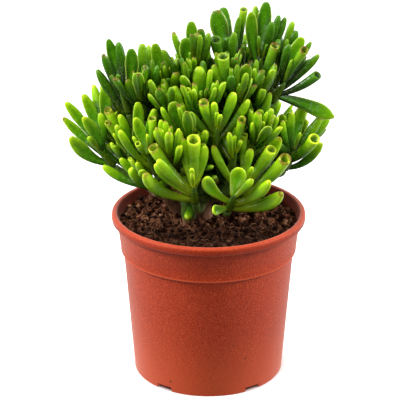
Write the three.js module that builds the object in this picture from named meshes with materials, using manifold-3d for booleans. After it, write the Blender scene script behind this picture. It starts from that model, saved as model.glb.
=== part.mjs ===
// A jade plant with tubular leaves, potted in a terracotta-coloured nursery pot.
// Millimetres, +Z up. The origin is the middle of the pot's foot, on the surface it stands on.
import * as THREE from 'three';
import { mergeVertices } from 'three/addons/utils/BufferGeometryUtils.js';
import Module from 'manifold-3d';

const wasm = await Module();
wasm.setup();
const { Manifold, Mesh } = wasm;

// ---- driving dimensions ----

const seatGap = 0.3; // between pieces that touch
const up = new THREE.Vector3(0, 0, 1);

const pot = {
  height: 105.5,
  rimRadius: 60,
  rimThroat: 56.4,
  lipDepth: 4.9,
  collarRadius: 56.6,
  ledgeRadius: 54.5,
  ledgeHeight: 80.8,
  footRadius: 46.8,
  taper: 0.0765, // the wall leans out by this much for each millimetre of height
  wall: 1.5,
  footDisc: 30,
  channelHeight: 2.5,
  skirtWidth: 2.2,
  segments: 40,
  notches: 5,
  notchWidth: 11,
  notchHeight: 3,
  firstNotch: -126,
  holes: 8,
  holeRadius: 3,
  holeSides: 10,
  holeCircle: 38,
};

const soil = {
  edge: 97.2,
  mound: 2.6,
  bump: 0.8,
  rings: [15, 30, 44],
  segments: 30,
};

const rootDepth = 30; // how deep a woody stem stands in the soil

// Each limb grows from another limb's end, or straight out of the soil.
const limbs = {
  left: { end: [-20, 6, 103.5], radius: 4.4, trunk: 'trunk_left' },
  leftTop: { end: [-27, 3, 116], from: 'left', radius: 4.0 },
  leftLow: { end: [-42, 0, 126], from: 'leftTop', radius: 3.2 },
  leftHigh: { end: [-37, 6, 146], from: 'leftTop', radius: 3.2 },
  leftMid: { end: [-25, 0, 138], from: 'leftTop', radius: 3.2 },
  leftBack: { end: [-30, 24, 128], from: 'leftTop', radius: 3.0 },
  centre: { end: [-3, 3, 104], radius: 5.2, trunk: 'trunk_centre' },
  centreTop: { end: [-1, 2, 112], from: 'centre', radius: 4.6 },
  centreMid: { end: [0, 8, 140], from: 'centreTop', radius: 3.4 },
  centreHigh: { end: [4, 18, 164], from: 'centreMid', radius: 3.2 },
  centreBack: { end: [0, 28, 132], from: 'centreTop', radius: 3.0 },
  right: { end: [17, -7, 122], from: 'centreTop', radius: 3.8 },
  rightLow: { end: [36, 0, 131], from: 'right', radius: 3.2 },
  rightHigh: { end: [27, 10, 150], from: 'right', radius: 3.2 },
  rightBack: { end: [30, 24, 136], from: 'right', radius: 3.0 },
};

// Leafy shoots. tip: where the green stem ends. turn: which way its first pair of leaves points, in
// degrees. pairs: opposite pairs of leaves, each a quarter turn from the last. leaf: length and width.
// lean: the way the stem points, where it doesn't fan out from the plant's middle. large: its largest
// leaves, each with its kind, length, width, share of the stem where it grows, the way it points as seen
// from the front, in degrees clockwise from straight up, how far it comes forwards, in degrees, and,
// where it isn't the usual one, how far it is bowed.
const shoots = [
  {
    tip: [15, -40, 132], turn: 35, pairs: 4, leaf: [28, 6.6], limb: 'right',
    large: [
      ['spoon', 18, 11.5, 0.8, 20, 0], ['spoon', 22, 9, 0.5, -50, 20, 0.25],
      ['finger', 33, 9, 0.2, 74, 15, 0.3], ['finger', 29, 7.5, 0.4, 58, 25, 0.25],
      ['finger', 16, 5, 0.8, 45, 15], ['spoon', 11, 7.5, 0.25, -100, 30, 0.2],
    ],
  },
  {
    tip: [22, -29, 135], turn: 10, pairs: 4, leaf: [28, 6.2], limb: 'right',
    large: [
      ['spoon', 38, 10, 0.7, 30, -5], ['cup', 36, 9.5, 0.3, 50, 15, 0.2], ['cup', 30, 8, 0.6, 35, 5],
      ['cup', 30, 5.5, 0.9, -6, -5], ['cup', 24, 6.5, 0.7, -22, 10], ['finger', 34, 6, 0.5, -31, 20],
      ['finger', 23, 5.5, 0.8, 11, 5],
    ],
  },
  {
    tip: [-9, -38, 137], turn: 75, pairs: 4, leaf: [30, 6.6], limb: 'centreTop',
    large: [
      ['cup', 31, 9, 0.7, -1, 15], ['finger', 35, 8, 0.2, -62, 20, 0.3], ['cup', 38, 7.5, 0.6, -42, 0],
      ['finger', 30, 6, 0.4, -50, 10, 0.2], ['finger', 31, 6.5, 0.5, -40, 20], ['cup', 34, 6.5, 0.8, -22, 0],
      ['finger', 31, 5, 0.9, -12, -5], ['finger', 26, 6.5, 0.8, 14, 5],
    ],
  },
  {
    tip: [-10, -12, 120], turn: 0, pairs: 0, leaf: [20, 6], limb: 'centreTop', lean: [-0.5, -0.75, 0.45],
    large: [
      ['finger', 17, 6, 0.7, -178, 20, 0.2], ['cup', 10, 7, 0.9, -30, 55],
    ],
  },
  {
    tip: [-37, -24, 152], turn: 20, pairs: 4, leaf: [28, 6.2], limb: 'leftMid',
    large: [
      ['spoon', 25, 8, 0.8, -19, 5], ['spoon', 23, 8, 0.6, 25, 5], ['finger', 31, 5.5, 0.3, -41, 20, 0.2],
      ['cup', 22, 5.5, 0.9, 6, 0], ['cup', 12, 4, 0.9, -35, 40],
    ],
  },
  {
    tip: [-37, -15, 134], turn: 75, pairs: 3, leaf: [26, 6], limb: 'leftLow',
    large: [
      ['finger', 29, 6.5, 0.5, -43, 5], ['finger', 34, 6, 0.2, -60, -5, 0.15],
      ['finger', 21, 7.5, 0.2, -41, 30, 0.15],
    ],
  },
  {
    tip: [-49, -8, 147], turn: 50, pairs: 4, leaf: [28, 6], limb: 'leftLow',
    large: [
      ['spoon', 33, 8, 0.9, 9, 20], ['cup', 34, 6, 0.6, -27, 5], ['cup', 31, 4.5, 0.4, -33, 15],
      ['finger', 35, 6, 0.8, -4, 5], ['finger', 34, 6.5, 0.7, 25, 20], ['finger', 30, 6, 0.4, -33, 30],
    ],
  },
  {
    tip: [-68, 0, 146], turn: 0, pairs: 4, leaf: [32, 6.6], limb: 'leftLow', lean: [-0.65, -0.05, 0.75],
    large: [
      ['spoon', 39, 7, 0.7, -36, 0], ['spoon', 36, 6.5, 0.5, -47, 0], ['spoon', 37, 7.5, 0.8, -18, 0],
      ['spoon', 39, 8.5, 0.9, 3, 0], ['finger', 40, 6.5, 1, -5, -10], ['spoon', 30, 9.5, 0.2, -56, 15, 0.2],
      ['spoon', 28, 8, 0.6, -30, 20], ['finger', 24, 5.5, 0.8, -2, 15],
    ],
  },
  {
    tip: [-53, 0, 184], turn: 30, pairs: 4, leaf: [30, 6.6], limb: 'leftHigh', lean: [-0.3, 0, 0.95],
    large: [
      ['spoon', 36, 8, 0.7, -15, 0], ['spoon', 31, 9, 0.6, 7, 15], ['finger', 30, 6, 0.9, -5, 0],
      ['finger', 33, 6, 0.4, -24, 10], ['finger', 31, 6.5, 0.1, -36, 5],
    ],
  },
  {
    tip: [-41, -2, 181], turn: 80, pairs: 4, leaf: [30, 6.8], limb: 'leftHigh', lean: [-0.15, -0.04, 0.98],
    large: [
      ['finger', 34, 7.5, 0.8, 0, 0], ['finger', 29, 6, 0.5, 10, 0], ['finger', 25, 7, 0.6, 2, 20],
      ['finger', 24, 6, 0.4, -14, 30],
    ],
  },
  {
    tip: [-8, 10, 196], turn: 50, pairs: 4, leaf: [29, 6.8], limb: 'centreHigh',
    large: [
      ['spoon', 30, 8.5, 0.8, -5, 0], ['spoon', 28, 8, 0.7, 6, -10], ['spoon', 27, 9.5, 0.4, -12, 15],
      ['finger', 31, 5, 0.5, -25, 0],
    ],
  },
  {
    tip: [18, 15, 200], turn: 15, pairs: 5, leaf: [30, 6.8], limb: 'centreHigh',
    large: [
      ['spoon', 36, 12, 0.7, -19, 0], ['spoon', 37, 9, 0.8, -13, -15], ['cup', 31, 5.5, 0.9, 7, 0],
      ['finger', 30, 4.5, 0.7, 4, 10], ['finger', 29, 6.5, 0.3, 1, 20], ['cup', 29, 7.5, 0.2, -23, 20],
      ['finger', 25, 5.5, 0.4, -10, 5],
    ],
  },
  {
    tip: [32, 14, 200], turn: 65, pairs: 5, leaf: [30, 6.8], limb: 'rightHigh', lean: [0.15, 0.0, 0.98],
    large: [
      ['spoon', 38, 9.5, 0.8, 6, -5], ['finger', 36, 7, 0.8, -4, -10], ['spoon', 35, 9, 0.6, -7, 10],
      ['finger', 28, 6, 0.7, 14, 15], ['finger', 37, 5, 0.5, 25, 0], ['finger', 33, 5, 0.7, 20, 0],
    ],
  },
  {
    tip: [46, 2, 188], turn: 45, pairs: 4, leaf: [28, 6.0], limb: 'rightHigh', lean: [0.5, -0.1, 0.85],
    large: [
      ['blade', 37, 10, 0.35, 111, 5, -0.06], ['spoon', 32, 9, 0.8, 23, 0], ['finger', 34, 5, 0.8, 33, -15],
      ['finger', 24, 6, 0.9, 9, 10], ['cup', 28, 6, 0.7, 32, 20], ['finger', 32, 5, 0.6, 47, 0],
      ['cup', 27, 6.5, 0.4, 63, 10],
    ],
  },
  {
    tip: [18, -8, 180], turn: 40, pairs: 4, leaf: [29, 6.6], limb: 'centreMid',
    large: [
      ['spoon', 27, 9.5, 0.7, 13, 15], ['cup', 32, 8, 0.8, -16, 0], ['finger', 30, 6.5, 0.6, -26, 5],
      ['finger', 18, 6, 0.9, -13, 25],
    ],
  },
  {
    tip: [-3, -12, 177], turn: 15, pairs: 4, leaf: [28, 6.4], limb: 'centreMid',
    large: [['finger', 30, 9, 0.6, -5, 10], ['finger', 30, 6, 0.9, -1, -10], ['finger', 24, 6, 0.7, 13, 0]],
  },
  {
    tip: [-11, -20, 164], turn: 20, pairs: 4, leaf: [29, 6.4], limb: 'leftMid',
    large: [['spoon', 27, 9.5, 0.6, -24, 20], ['finger', 37, 8, 0.4, -22, 0], ['cup', 28, 5, 0.8, -4, 5]],
  },
  {
    tip: [5, -22, 168], turn: 60, pairs: 4, leaf: [27, 6.2], limb: 'centreMid',
    large: [
      ['cup', 22, 7, 0.7, -21, 10], ['finger', 18, 5.5, 0.8, -4, 20], ['finger', 28, 6.5, 0.7, 22, 0],
      ['finger', 31, 6, 0.4, 32, 5], ['finger', 29, 6, 0.5, -33, 0],
    ],
  },
  {
    tip: [16, -23, 153], turn: 80, pairs: 4, leaf: [26, 6.2], limb: 'right',
    large: [
      ['finger', 27, 7, 0.7, -11, 0], ['finger', 29, 6, 0.5, -26, 0], ['finger', 30, 8, 0.6, 25, 0],
      ['finger', 26, 4.5, 0.9, 8, 0], ['cup', 23, 6, 0.8, 12, 20],
    ],
  },
  {
    tip: [53, -10, 149], turn: 70, pairs: 4, leaf: [27, 6.0], limb: 'rightLow', lean: [0.45, -0.15, 0.87],
    large: [
      ['spoon', 28, 7.5, 0.9, 11, 0], ['cup', 23, 8, 0.5, 46, 35], ['finger', 25, 6, 0.8, -1, 5],
      ['finger', 22, 4.5, 0.7, -15, 10], ['finger', 29, 6.5, 0.7, 36, 0], ['finger', 37, 6.5, 0.5, 42, -15],
      ['finger', 27, 6, 0.1, 54, 15, 0.25], ['finger', 14, 5, 0.8, -60, 30],
    ],
  },
  {
    tip: [30, -15, 160], turn: 80, pairs: 4, leaf: [26, 6.2], limb: 'right',
    large: [['spoon', 21, 8, 0.6, 10, 10], ['finger', 31, 6, 0.7, 16, 0], ['finger', 25, 6, 0.7, -9, 0]],
  },
  {
    tip: [30, 0, 180], turn: 25, pairs: 4, leaf: [29, 6.8], limb: 'rightHigh',
    large: [['cup', 35, 7.5, 0.8, 12, 5]],
  },
  {
    tip: [-25, -5, 175], turn: 20, pairs: 4, leaf: [28, 6.6], limb: 'leftMid',
    large: [['finger', 26, 6.5, 0.4, -10, 15]],
  },
  {
    tip: [-25, 15, 180], turn: 25, pairs: 3, leaf: [28, 6.4], limb: 'leftHigh',
    large: [['spoon', 33, 9, 0.6, -15, 5]],
  },
  { tip: [-25, -25, 155], turn: 50, pairs: 4, leaf: [27, 6.2], limb: 'leftMid' },
  { tip: [-5, -15, 155], turn: 15, pairs: 4, leaf: [26, 6.2], limb: 'centreMid' },
  { tip: [-10, 0, 185], turn: 60, pairs: 5, leaf: [28, 6.2], limb: 'centreHigh' },
  { tip: [10, 5, 190], turn: 10, pairs: 5, leaf: [28, 6.2], limb: 'centreHigh' },
  { tip: [45, 10, 150], turn: 25, pairs: 4, leaf: [22, 6.0], limb: 'rightLow' },
  {
    tip: [45, 15, 195], turn: 5, pairs: 4, leaf: [28, 6.4], limb: 'rightHigh',
    large: [['finger', 27, 6, 0.7, 22, 0], ['finger', 30, 5.5, 0.8, 9, 0]],
  },
  { tip: [-55, 15, 165], turn: 55, pairs: 4, leaf: [29, 6.2], limb: 'leftLow' },
  { tip: [-40, 35, 150], turn: 10, pairs: 4, leaf: [30, 6.4], limb: 'leftBack' },
  { tip: [-20, 50, 150], turn: 60, pairs: 4, leaf: [30, 6.4], limb: 'leftBack' },
  { tip: [10, 50, 150], turn: 20, pairs: 4, leaf: [30, 6.4], limb: 'centreBack' },
  { tip: [35, 40, 145], turn: 70, pairs: 4, leaf: [30, 6.4], limb: 'rightBack' },
  { tip: [55, 20, 145], turn: 35, pairs: 4, leaf: [28, 6.2], limb: 'rightLow' },
  { tip: [-40, 25, 180], turn: 65, pairs: 4, leaf: [30, 6.4], limb: 'leftHigh' },
  { tip: [-10, 40, 180], turn: 25, pairs: 5, leaf: [30, 6.4], limb: 'centreBack' },
  { tip: [20, 40, 185], turn: 75, pairs: 5, leaf: [30, 6.4], limb: 'rightBack' },
  { tip: [30, 30, 165], turn: 15, pairs: 4, leaf: [28, 6.4], limb: 'rightBack' },
];

const stem = { radius: 2.7, step: 3.8, spare: 0.5, topPair: 1.5, shortest: 6, sides: 5 };
const twig = { start: 2.2, end: 2.5, sides: 5, steps: 2 };
const limbSides = 5;
const fanCentre = [-4, 0, 62]; // the shoots fan out from here

// How the leaves of a shoot spread, in degrees from its stem, from the youngest pair to the oldest.
const spread = { young: 15, old: 36, spare: 14, wander: 16 };
const clearance = 0.5; // between a leaf and the leaves of other shoots
const mingle = { pairs: 0.7, large: 2 }; // how far leaves of one shoot may press into each other
const freeRoot = { shoot: 0.42, twig: 0.25 }; // shares of a leaf that may touch its own shoot and twig
const ballsPerLeaf = 11;
const leavesEach = 5; // a shoot with this many leaves grows no more pairs
const seed = 20;
const viewHeight = 22.5; // the ways of the large leaves are as seen from this many degrees above level
const usualBow = 0.1; // how far a large leaf is bowed, as a share of its length

// Places a leaf may take instead where its first one is full: turned, spread and shortened.
const otherPlaces = [
  [0, 0, 1], [12, 0, 1], [-12, 0, 1], [0, -8, 1], [0, 8, 0.95], [22, -4, 0.92], [-22, -4, 0.92],
  [0, -15, 0.9], [14, 10, 0.85], [-14, 10, 0.85], [34, 0, 0.85], [-34, 0, 0.85], [0, -20, 0.78],
  [24, 10, 0.75], [-24, 10, 0.75], [0, 0, 0.66], [16, -12, 0.62], [-16, -12, 0.62],
];

// How common the flat spoons and the hollow cups are. The other leaves are fingers.
const mix = { spoon: 0.14, cup: 0.36 };

// Outlines of the leaf kinds: share of the length, share of the half width. flat: thickness to width.
const kinds = {
  spoon: { flat: 0.38, outline: [[0, 0.4], [0.15, 0.44], [0.45, 0.7], [0.75, 1], [0.92, 0.8], [1, 0.45]] },
  cup: { flat: 0.86, outline: [[0, 0.44], [0.15, 0.52], [0.5, 0.74], [0.82, 0.92], [1, 1]] },
  finger: { flat: 0.82, outline: [[0, 0.46], [0.15, 0.58], [0.5, 0.86], [0.78, 1], [0.93, 0.82], [1, 0.45]] },
  blade: { flat: 0.34, outline: [[0, 0.35], [0.15, 0.45], [0.45, 0.8], [0.75, 1], [0.92, 0.6], [1, 0.12]] },
};

// Where the rings of each kind of leaf lie along it, and how far past its last ring it ends. A cup ends
// short of its rim, so that its tip is hollow.
const leafRings = {
  spoon: { at: [0, 0.5, 0.88], end: 0.12 },
  cup: { at: [0, 0.55, 1], end: -0.13 },
  finger: { at: [0, 0.6, 0.93], end: 0.06 },
  blade: { at: [0, 0.5, 0.8], end: 0.2 },
};
const leafSides = 5;
const rootInset = 0.3; // a leaf starts this share of the stem's radius from its middle
const rimTilt = 0.6; // the outer side of a cup's rim stands this much of its thickness higher

const colours = {
  pot: 0xc05a40,
  soil: 0x3a2318,
  wood: 0x6b5638,
  leaf: 0x5c9a1c,
};

// ---- solids ----

const vector = (point) => new THREE.Vector3(...point);
const degrees = THREE.MathUtils.degToRad;

function solidFrom(geometry) {
  const bare = geometry.clone();
  bare.deleteAttribute('normal');
  bare.deleteAttribute('uv');
  const merged = mergeVertices(bare, 1e-4);
  const index = merged.index.array;
  const faces = [];
  for (let i = 0; i < index.length; i += 3) {
    const [a, b, c] = index.slice(i, i + 3);
    if (a !== b && b !== c && c !== a) faces.push(a, b, c);
  }
  return new Manifold(new Mesh({
    numProp: 3,
    vertProperties: new Float32Array(merged.attributes.position.array),
    triVerts: new Uint32Array(faces),
  }));
}

function meshFrom(solid, name, material) {
  const { vertProperties, triVerts } = solid.getMesh();
  const geometry = new THREE.BufferGeometry();
  geometry.setAttribute('position', new THREE.BufferAttribute(vertProperties, 3));
  geometry.setIndex(new THREE.BufferAttribute(triVerts, 1));
  geometry.computeVertexNormals();
  const mesh = new THREE.Mesh(geometry, material);
  mesh.name = name;
  return mesh;
}

// A closed solid through rings of points that run counter-clockwise about the way they are stacked.
// Its end is flat, or runs to a last point.
function solidThroughRings(rings, lastPoint) {
  const sides = rings[0].length;
  const points = rings.flat();
  const faces = [];
  for (let ring = 0; ring < rings.length - 1; ring++) {
    for (let side = 0; side < sides; side++) {
      const a = ring * sides + side;
      const b = ring * sides + (side + 1) % sides;
      faces.push(a, b, b + sides, a, b + sides, a + sides);
    }
  }
  const top = (rings.length - 1) * sides;
  for (let side = 1; side < sides - 1; side++) {
    faces.push(0, side + 1, side);
    if (!lastPoint) faces.push(top, top + side, top + side + 1);
  }
  if (lastPoint) {
    points.push(lastPoint);
    for (let side = 0; side < sides; side++) {
      faces.push(top + side, top + (side + 1) % sides, points.length - 1);
    }
  }
  const geometry = new THREE.BufferGeometry().setFromPoints(points);
  geometry.setIndex(faces);
  return solidFrom(geometry);
}

// An oval ring of points about a centre, across two directions.
function ring(centre, across, acrossReach, over, overReach, sides) {
  return Array.from({ length: sides }, (_, side) => {
    const angle = 2 * Math.PI * (side + 0.5) / sides;
    return centre.clone()
      .addScaledVector(across, acrossReach * Math.cos(angle))
      .addScaledVector(over, overReach * Math.sin(angle));
  });
}

// Two directions at right angles to an axis and to each other.
function crossDirections(axis) {
  const across = new THREE.Vector3().crossVectors(Math.abs(axis.z) > 0.999 ? vector([1, 0, 0]) : up, axis);
  across.normalize();
  return [across, new THREE.Vector3().crossVectors(axis, across)];
}

function tube(curve, startRadius, endRadius, sides, steps) {
  const rings = [];
  for (let step = 0; step <= steps; step++) {
    const share = step / steps;
    const [across, over] = crossDirections(curve.getTangent(share));
    const radius = startRadius + (endRadius - startRadius) * share;
    rings.push(ring(curve.getPoint(share), across, radius, over, radius, sides));
  }
  return solidThroughRings(rings);
}

// ---- pot and soil ----

const bodyRadius = (height) => pot.footRadius + pot.taper * height;

function collarRadius(height) {
  const share = (height - pot.ledgeHeight) / (pot.height - pot.lipDepth - pot.ledgeHeight);
  return pot.ledgeRadius + (pot.collarRadius - pot.ledgeRadius) * share;
}

function turned(profile, segments) {
  const points = profile.map(([radius, height]) => new THREE.Vector2(radius, height));
  return new THREE.LatheGeometry(points, segments).rotateX(Math.PI / 2);
}

function makePot() {
  const { height, rimRadius, rimThroat, lipDepth, ledgeHeight, ledgeRadius, wall, footDisc } = pot;
  const lipFoot = height - lipDepth;
  const skirt = pot.footRadius - pot.skirtWidth;
  const channel = pot.channelHeight;
  const floorTop = channel + wall;
  const profile = [
    [0, 0], [footDisc, 0], [footDisc + channel, channel], [skirt - channel / 2, channel], [skirt, 0],
    [pot.footRadius, 0], [bodyRadius(ledgeHeight), ledgeHeight], [ledgeRadius, ledgeHeight + 0.2],
    [pot.collarRadius, lipFoot], [rimRadius, lipFoot + 0.6],
    [rimRadius, height - 1.4], [rimRadius - 1.4, height],
    [rimThroat + 0.8, height], [rimThroat, height - 0.8],
    [collarRadius(lipFoot) - wall, lipFoot],
    [collarRadius(ledgeHeight) - wall, ledgeHeight + wall / 2],
    [bodyRadius(ledgeHeight) - wall, ledgeHeight - wall],
    [bodyRadius(floorTop) - wall, floorTop], [footDisc + channel, floorTop], [footDisc, wall], [0, wall],
  ];
  let solid = solidFrom(turned(profile, pot.segments));
  for (let i = 0; i < pot.notches; i++) {
    const cutter = new THREE.BoxGeometry(4 * pot.skirtWidth, pot.notchWidth, 2 * pot.notchHeight);
    cutter.translate(skirt + 1.5 * pot.skirtWidth, 0, 0);
    cutter.rotateZ(degrees(pot.firstNotch + 360 * i / pot.notches));
    solid = solid.subtract(solidFrom(cutter));
  }
  for (let i = 0; i < pot.holes; i++) {
    const cutter = new THREE.CylinderGeometry(pot.holeRadius, pot.holeRadius, 4 * floorTop, pot.holeSides);
    cutter.rotateX(Math.PI / 2).translate(pot.holeCircle, 0, 0);
    cutter.rotateZ(degrees(360 * (i + 0.5) / pot.holes));
    solid = solid.subtract(solidFrom(cutter));
  }
  return solid;
}

// The soil is a low mound with waves some 20 mm long.
function soilHeight(x, y) {
  const share = Math.hypot(x, y) / pot.rimThroat;
  const bumps = Math.sin(x * 0.31 + 1.2) * Math.cos(y * 0.27 - 0.6) + 0.6 * Math.sin(x * 0.17 - y * 0.41);
  return soil.edge + soil.mound * (1 - share * share) + soil.bump * bumps;
}

function makeSoil(posts) {
  const gap = seatGap;
  const { wall, footDisc, ledgeHeight, channelHeight } = pot;
  const floor = channelHeight + wall + gap;
  // The wall's flats lie further in than its edges.
  const inside = (radius) => (radius - wall) * Math.cos(Math.PI / pot.segments) - gap;
  const profile = [
    [0, wall + gap], [footDisc - gap, wall + gap], [footDisc + channelHeight - gap, floor],
    [inside(bodyRadius(floor)), floor], [inside(bodyRadius(ledgeHeight)), ledgeHeight - wall],
    [inside(collarRadius(ledgeHeight)), ledgeHeight + wall / 2 + gap],
    [inside(collarRadius(soil.edge)), soil.edge - 1],
    ...[...soil.rings].reverse().map((radius) => [radius, soil.edge]),
    [0, soil.edge],
  ];
  const geometry = turned(profile, soil.segments);
  const position = geometry.attributes.position;
  for (let i = 0; i < position.count; i++) {
    if (position.getZ(i) === Math.fround(soil.edge)) {
      position.setZ(i, soilHeight(position.getX(i), position.getY(i)));
    }
  }
  let solid = solidFrom(geometry);
  for (const post of posts) solid = solid.subtract(post);
  return solid;
}

// ---- woody stems ----

const limbEnd = (name) => vector(limbs[name].end);

function trunkOf(name) {
  return limbs[name].trunk ?? trunkOf(limbs[name].from);
}

// A limb leaves its parent steeply and then leans out to its own end.
function limbCurve(name) {
  const end = limbEnd(name);
  const start = limbEnd(limbs[name].from);
  const middle = start.clone().lerp(end, 0.5);
  middle.x = start.x + (end.x - start.x) * 0.3;
  middle.y = start.y + (end.y - start.y) * 0.3;
  return new THREE.QuadraticBezierCurve3(start, middle, end);
}

// A post goes straight down into the soil. The same post, grown by the gap, is its hole.
function postSolid(name, extra) {
  const top = limbEnd(name);
  const radius = limbs[name].radius + extra;
  const reach = extra > 0 ? 12 : 0;
  const curve = new THREE.LineCurve3(
    vector([top.x, top.y, top.z - rootDepth - extra]), vector([top.x, top.y, top.z + reach]));
  return tube(curve, radius, radius, 8, 1);
}

// A twig ends square to the green stem that it carries, just below it.
function twigCurve(shoot) {
  const start = limbEnd(shoot.limb);
  const end = shoot.foot.clone().addScaledVector(shoot.axis, -seatGap);
  const middle = end.clone().addScaledVector(shoot.axis, -0.45 * start.distanceTo(end));
  return new THREE.QuadraticBezierCurve3(start, middle, end);
}

function makeTrunk(trunk) {
  const solids = [];
  for (const [name, { from, radius }] of Object.entries(limbs)) {
    if (trunkOf(name) !== trunk) continue;
    if (from) solids.push(tube(limbCurve(name), limbs[from].radius, radius, limbSides, 2));
    else solids.push(postSolid(name, 0));
  }
  for (const shoot of shoots) {
    if (trunkOf(shoot.limb) !== trunk) continue;
    solids.push(tube(twigCurve(shoot), twig.start, twig.end, twig.sides, twig.steps));
  }
  return Manifold.union(solids);
}

// ---- leaves ----

function setOutShoots() {
  for (const shoot of shoots) {
    shoot.end = vector(shoot.tip);
    shoot.axis = shoot.lean ? vector(shoot.lean) : shoot.end.clone().sub(vector(fanCentre));
    shoot.axis.normalize();
    [shoot.across, shoot.over] = crossDirections(shoot.axis);
    shoot.length = shoot.pairs ? stem.step * shoot.pairs + stem.spare : stem.shortest;
    shoot.foot = shoot.end.clone().addScaledVector(shoot.axis, -shoot.length);
    shoot.leaves = [];
  }
}

function makeDraw(start) {
  let state = start;
  return () => {
    state = (state * 1664525 + 1013904223) % 4294967296;
    return state / 4294967296;
  };
}

function halfWidthShare(kind, share) {
  const { outline } = kinds[kind];
  const next = Math.max(1, outline.findIndex(([at]) => share <= at));
  const [from, low] = outline[next - 1];
  const [to, high] = outline[next];
  return low + (high - low) * (share - from) / (to - from);
}

// The leaf's width direction and thickness direction at a share of its length.
function leafFrame(leaf, share) {
  const along = leaf.curve.getTangent(share);
  const across = leaf.side.clone().addScaledVector(along, -leaf.side.dot(along)).normalize();
  return { along, across, over: new THREE.Vector3().crossVectors(along, across) };
}

// The balls that fill a leaf, by which it is kept clear of what is there already.
function leafBalls(leaf) {
  const balls = [];
  for (let i = 0; i < ballsPerLeaf; i++) {
    const share = (i + 0.5) / ballsPerLeaf;
    const centre = leaf.curve.getPoint(share);
    const half = halfWidthShare(leaf.kind, share) * leaf.width / 2;
    const thick = half * kinds[leaf.kind].flat;
    if (half - thick > 0.8) {
      const { across } = leafFrame(leaf, share);
      for (const way of [1, -1]) {
        const beside = centre.clone().addScaledVector(across, way * (half - thick));
        balls.push({ centre: beside, radius: thick, share });
      }
    }
    balls.push({ centre, radius: Math.max(thick, Math.min(half, thick * 1.15)), share });
  }
  return balls;
}

function ballsAlong(curve, radius, count, marks) {
  return Array.from({ length: count }, (_, i) => (
    { centre: curve.getPoint(i / (count - 1)), radius, last: i > count - 3, ...marks }));
}

function ballsOfWood() {
  const balls = [];
  shoots.forEach((shoot, number) => {
    balls.push(...ballsAlong(new THREE.LineCurve3(shoot.foot, shoot.end), stem.radius, 6, { shoot: number }));
    balls.push(...ballsAlong(twigCurve(shoot), twig.end, 13, { twigOf: number }));
  });
  for (const [name, { from, radius }] of Object.entries(limbs)) {
    if (from) balls.push(...ballsAlong(limbCurve(name), radius, 9, {}));
  }
  return balls;
}

function clearOfPot({ centre, radius }) {
  const out = Math.hypot(centre.x, centre.y);
  const low = centre.z - radius;
  const soilTop = soil.edge + soil.mound + 2 * soil.bump;
  if (low < soilTop && out < pot.rimThroat + 2) return false;
  return low > pot.height + 1 || out < pot.rimThroat - radius - 1 || out > pot.rimRadius + radius + 1;
}

// Whether a leaf is clear of the pot, the wood and the leaves that are there already. Leaves of one shoot
// may touch near their roots.
function isFree(balls, taken, number, press) {
  if (!balls.every(clearOfPot)) return false;
  const box = new THREE.Box3();
  for (const { centre, radius } of balls) {
    box.expandByPoint(centre.clone().addScalar(radius + clearance));
    box.expandByPoint(centre.clone().addScalar(-radius - clearance));
  }
  return !taken.some((other) => {
    if (box.distanceToPoint(other.centre) > other.radius) return false;
    const own = other.shoot === number;
    const ownTwigEnd = other.twigOf === number && other.last;
    const gap = own ? -press : clearance;
    return balls.some(({ centre, radius, share }) => {
      if ((own && share < freeRoot.shoot) || (ownTwigEnd && share < freeRoot.twig)) return false;
      return centre.distanceTo(other.centre) < radius + other.radius + gap;
    });
  });
}

// The direction that points this way as seen from the front and above. clock: degrees clockwise from
// straight up. near: degrees forwards.
function seenWay(clock, near) {
  const flat = Math.cos(degrees(near));
  const across = Math.sin(degrees(clock)) * flat;
  const rise = Math.cos(degrees(clock)) * flat;
  const way = new THREE.Vector3(across, -Math.sin(degrees(near)), rise);
  return way.applyAxisAngle(new THREE.Vector3(1, 0, 0), -degrees(viewHeight));
}

// A large leaf leaves its stem sideways, turns up or down along its length, and faces the front.
function largeLeaf(number, [kind, whole, width, share, clock, near, bow = usualBow], [turn, tilt, part]) {
  const { foot, axis, length: reach } = shoots[number];
  const length = whole * part;
  const way = seenWay(clock + turn / 2, near + tilt);
  const outward = way.clone().addScaledVector(axis, -way.dot(axis)).normalize();
  const root = foot.clone().addScaledVector(axis, reach * share);
  root.addScaledVector(outward, stem.radius * rootInset);
  const end = root.clone().addScaledVector(way, length);
  const middle = root.clone().lerp(end, 0.5).addScaledVector(outward, bow * length);
  middle.addScaledVector(axis, -Math.sign(way.dot(axis)) * bow * length);
  const side = seenWay(0, 90).cross(way).normalize();
  return { number, length, curve: new THREE.QuadraticBezierCurve3(root, middle, end), width, kind, side };
}

// One leaf of a pair: what the draws make of it, before it looks for a free place.
function drawLeaf(shoot, level, side, draw) {
  const [turn, tilt, long, wide, which] = [draw(), draw(), draw(), draw(), draw()];
  const rank = level / (shoot.pairs - 1);
  const [length, width] = shoot.leaf;
  const kind = which < mix.spoon ? 'spoon' : which < mix.spoon + mix.cup ? 'cup' : 'finger';
  return {
    kind,
    azimuth: shoot.turn + 90 * level + 180 * side + spread.wander * (turn - 0.5),
    tilt: spread.young + spread.old * rank + spread.spare * (tilt - 0.5),
    length: length * (0.7 + 0.36 * rank ** 0.7 + 0.22 * (long - 0.5)),
    width: width * (0.82 + 0.2 * rank + 0.25 * (wide - 0.5)) * (kind === 'spoon' ? 1.45 : 1),
    height: shoot.length - stem.topPair - stem.step * level,
    lift: 0.45 + 0.25 * rank, // how much the leaf turns up along its length
  };
}

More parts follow.
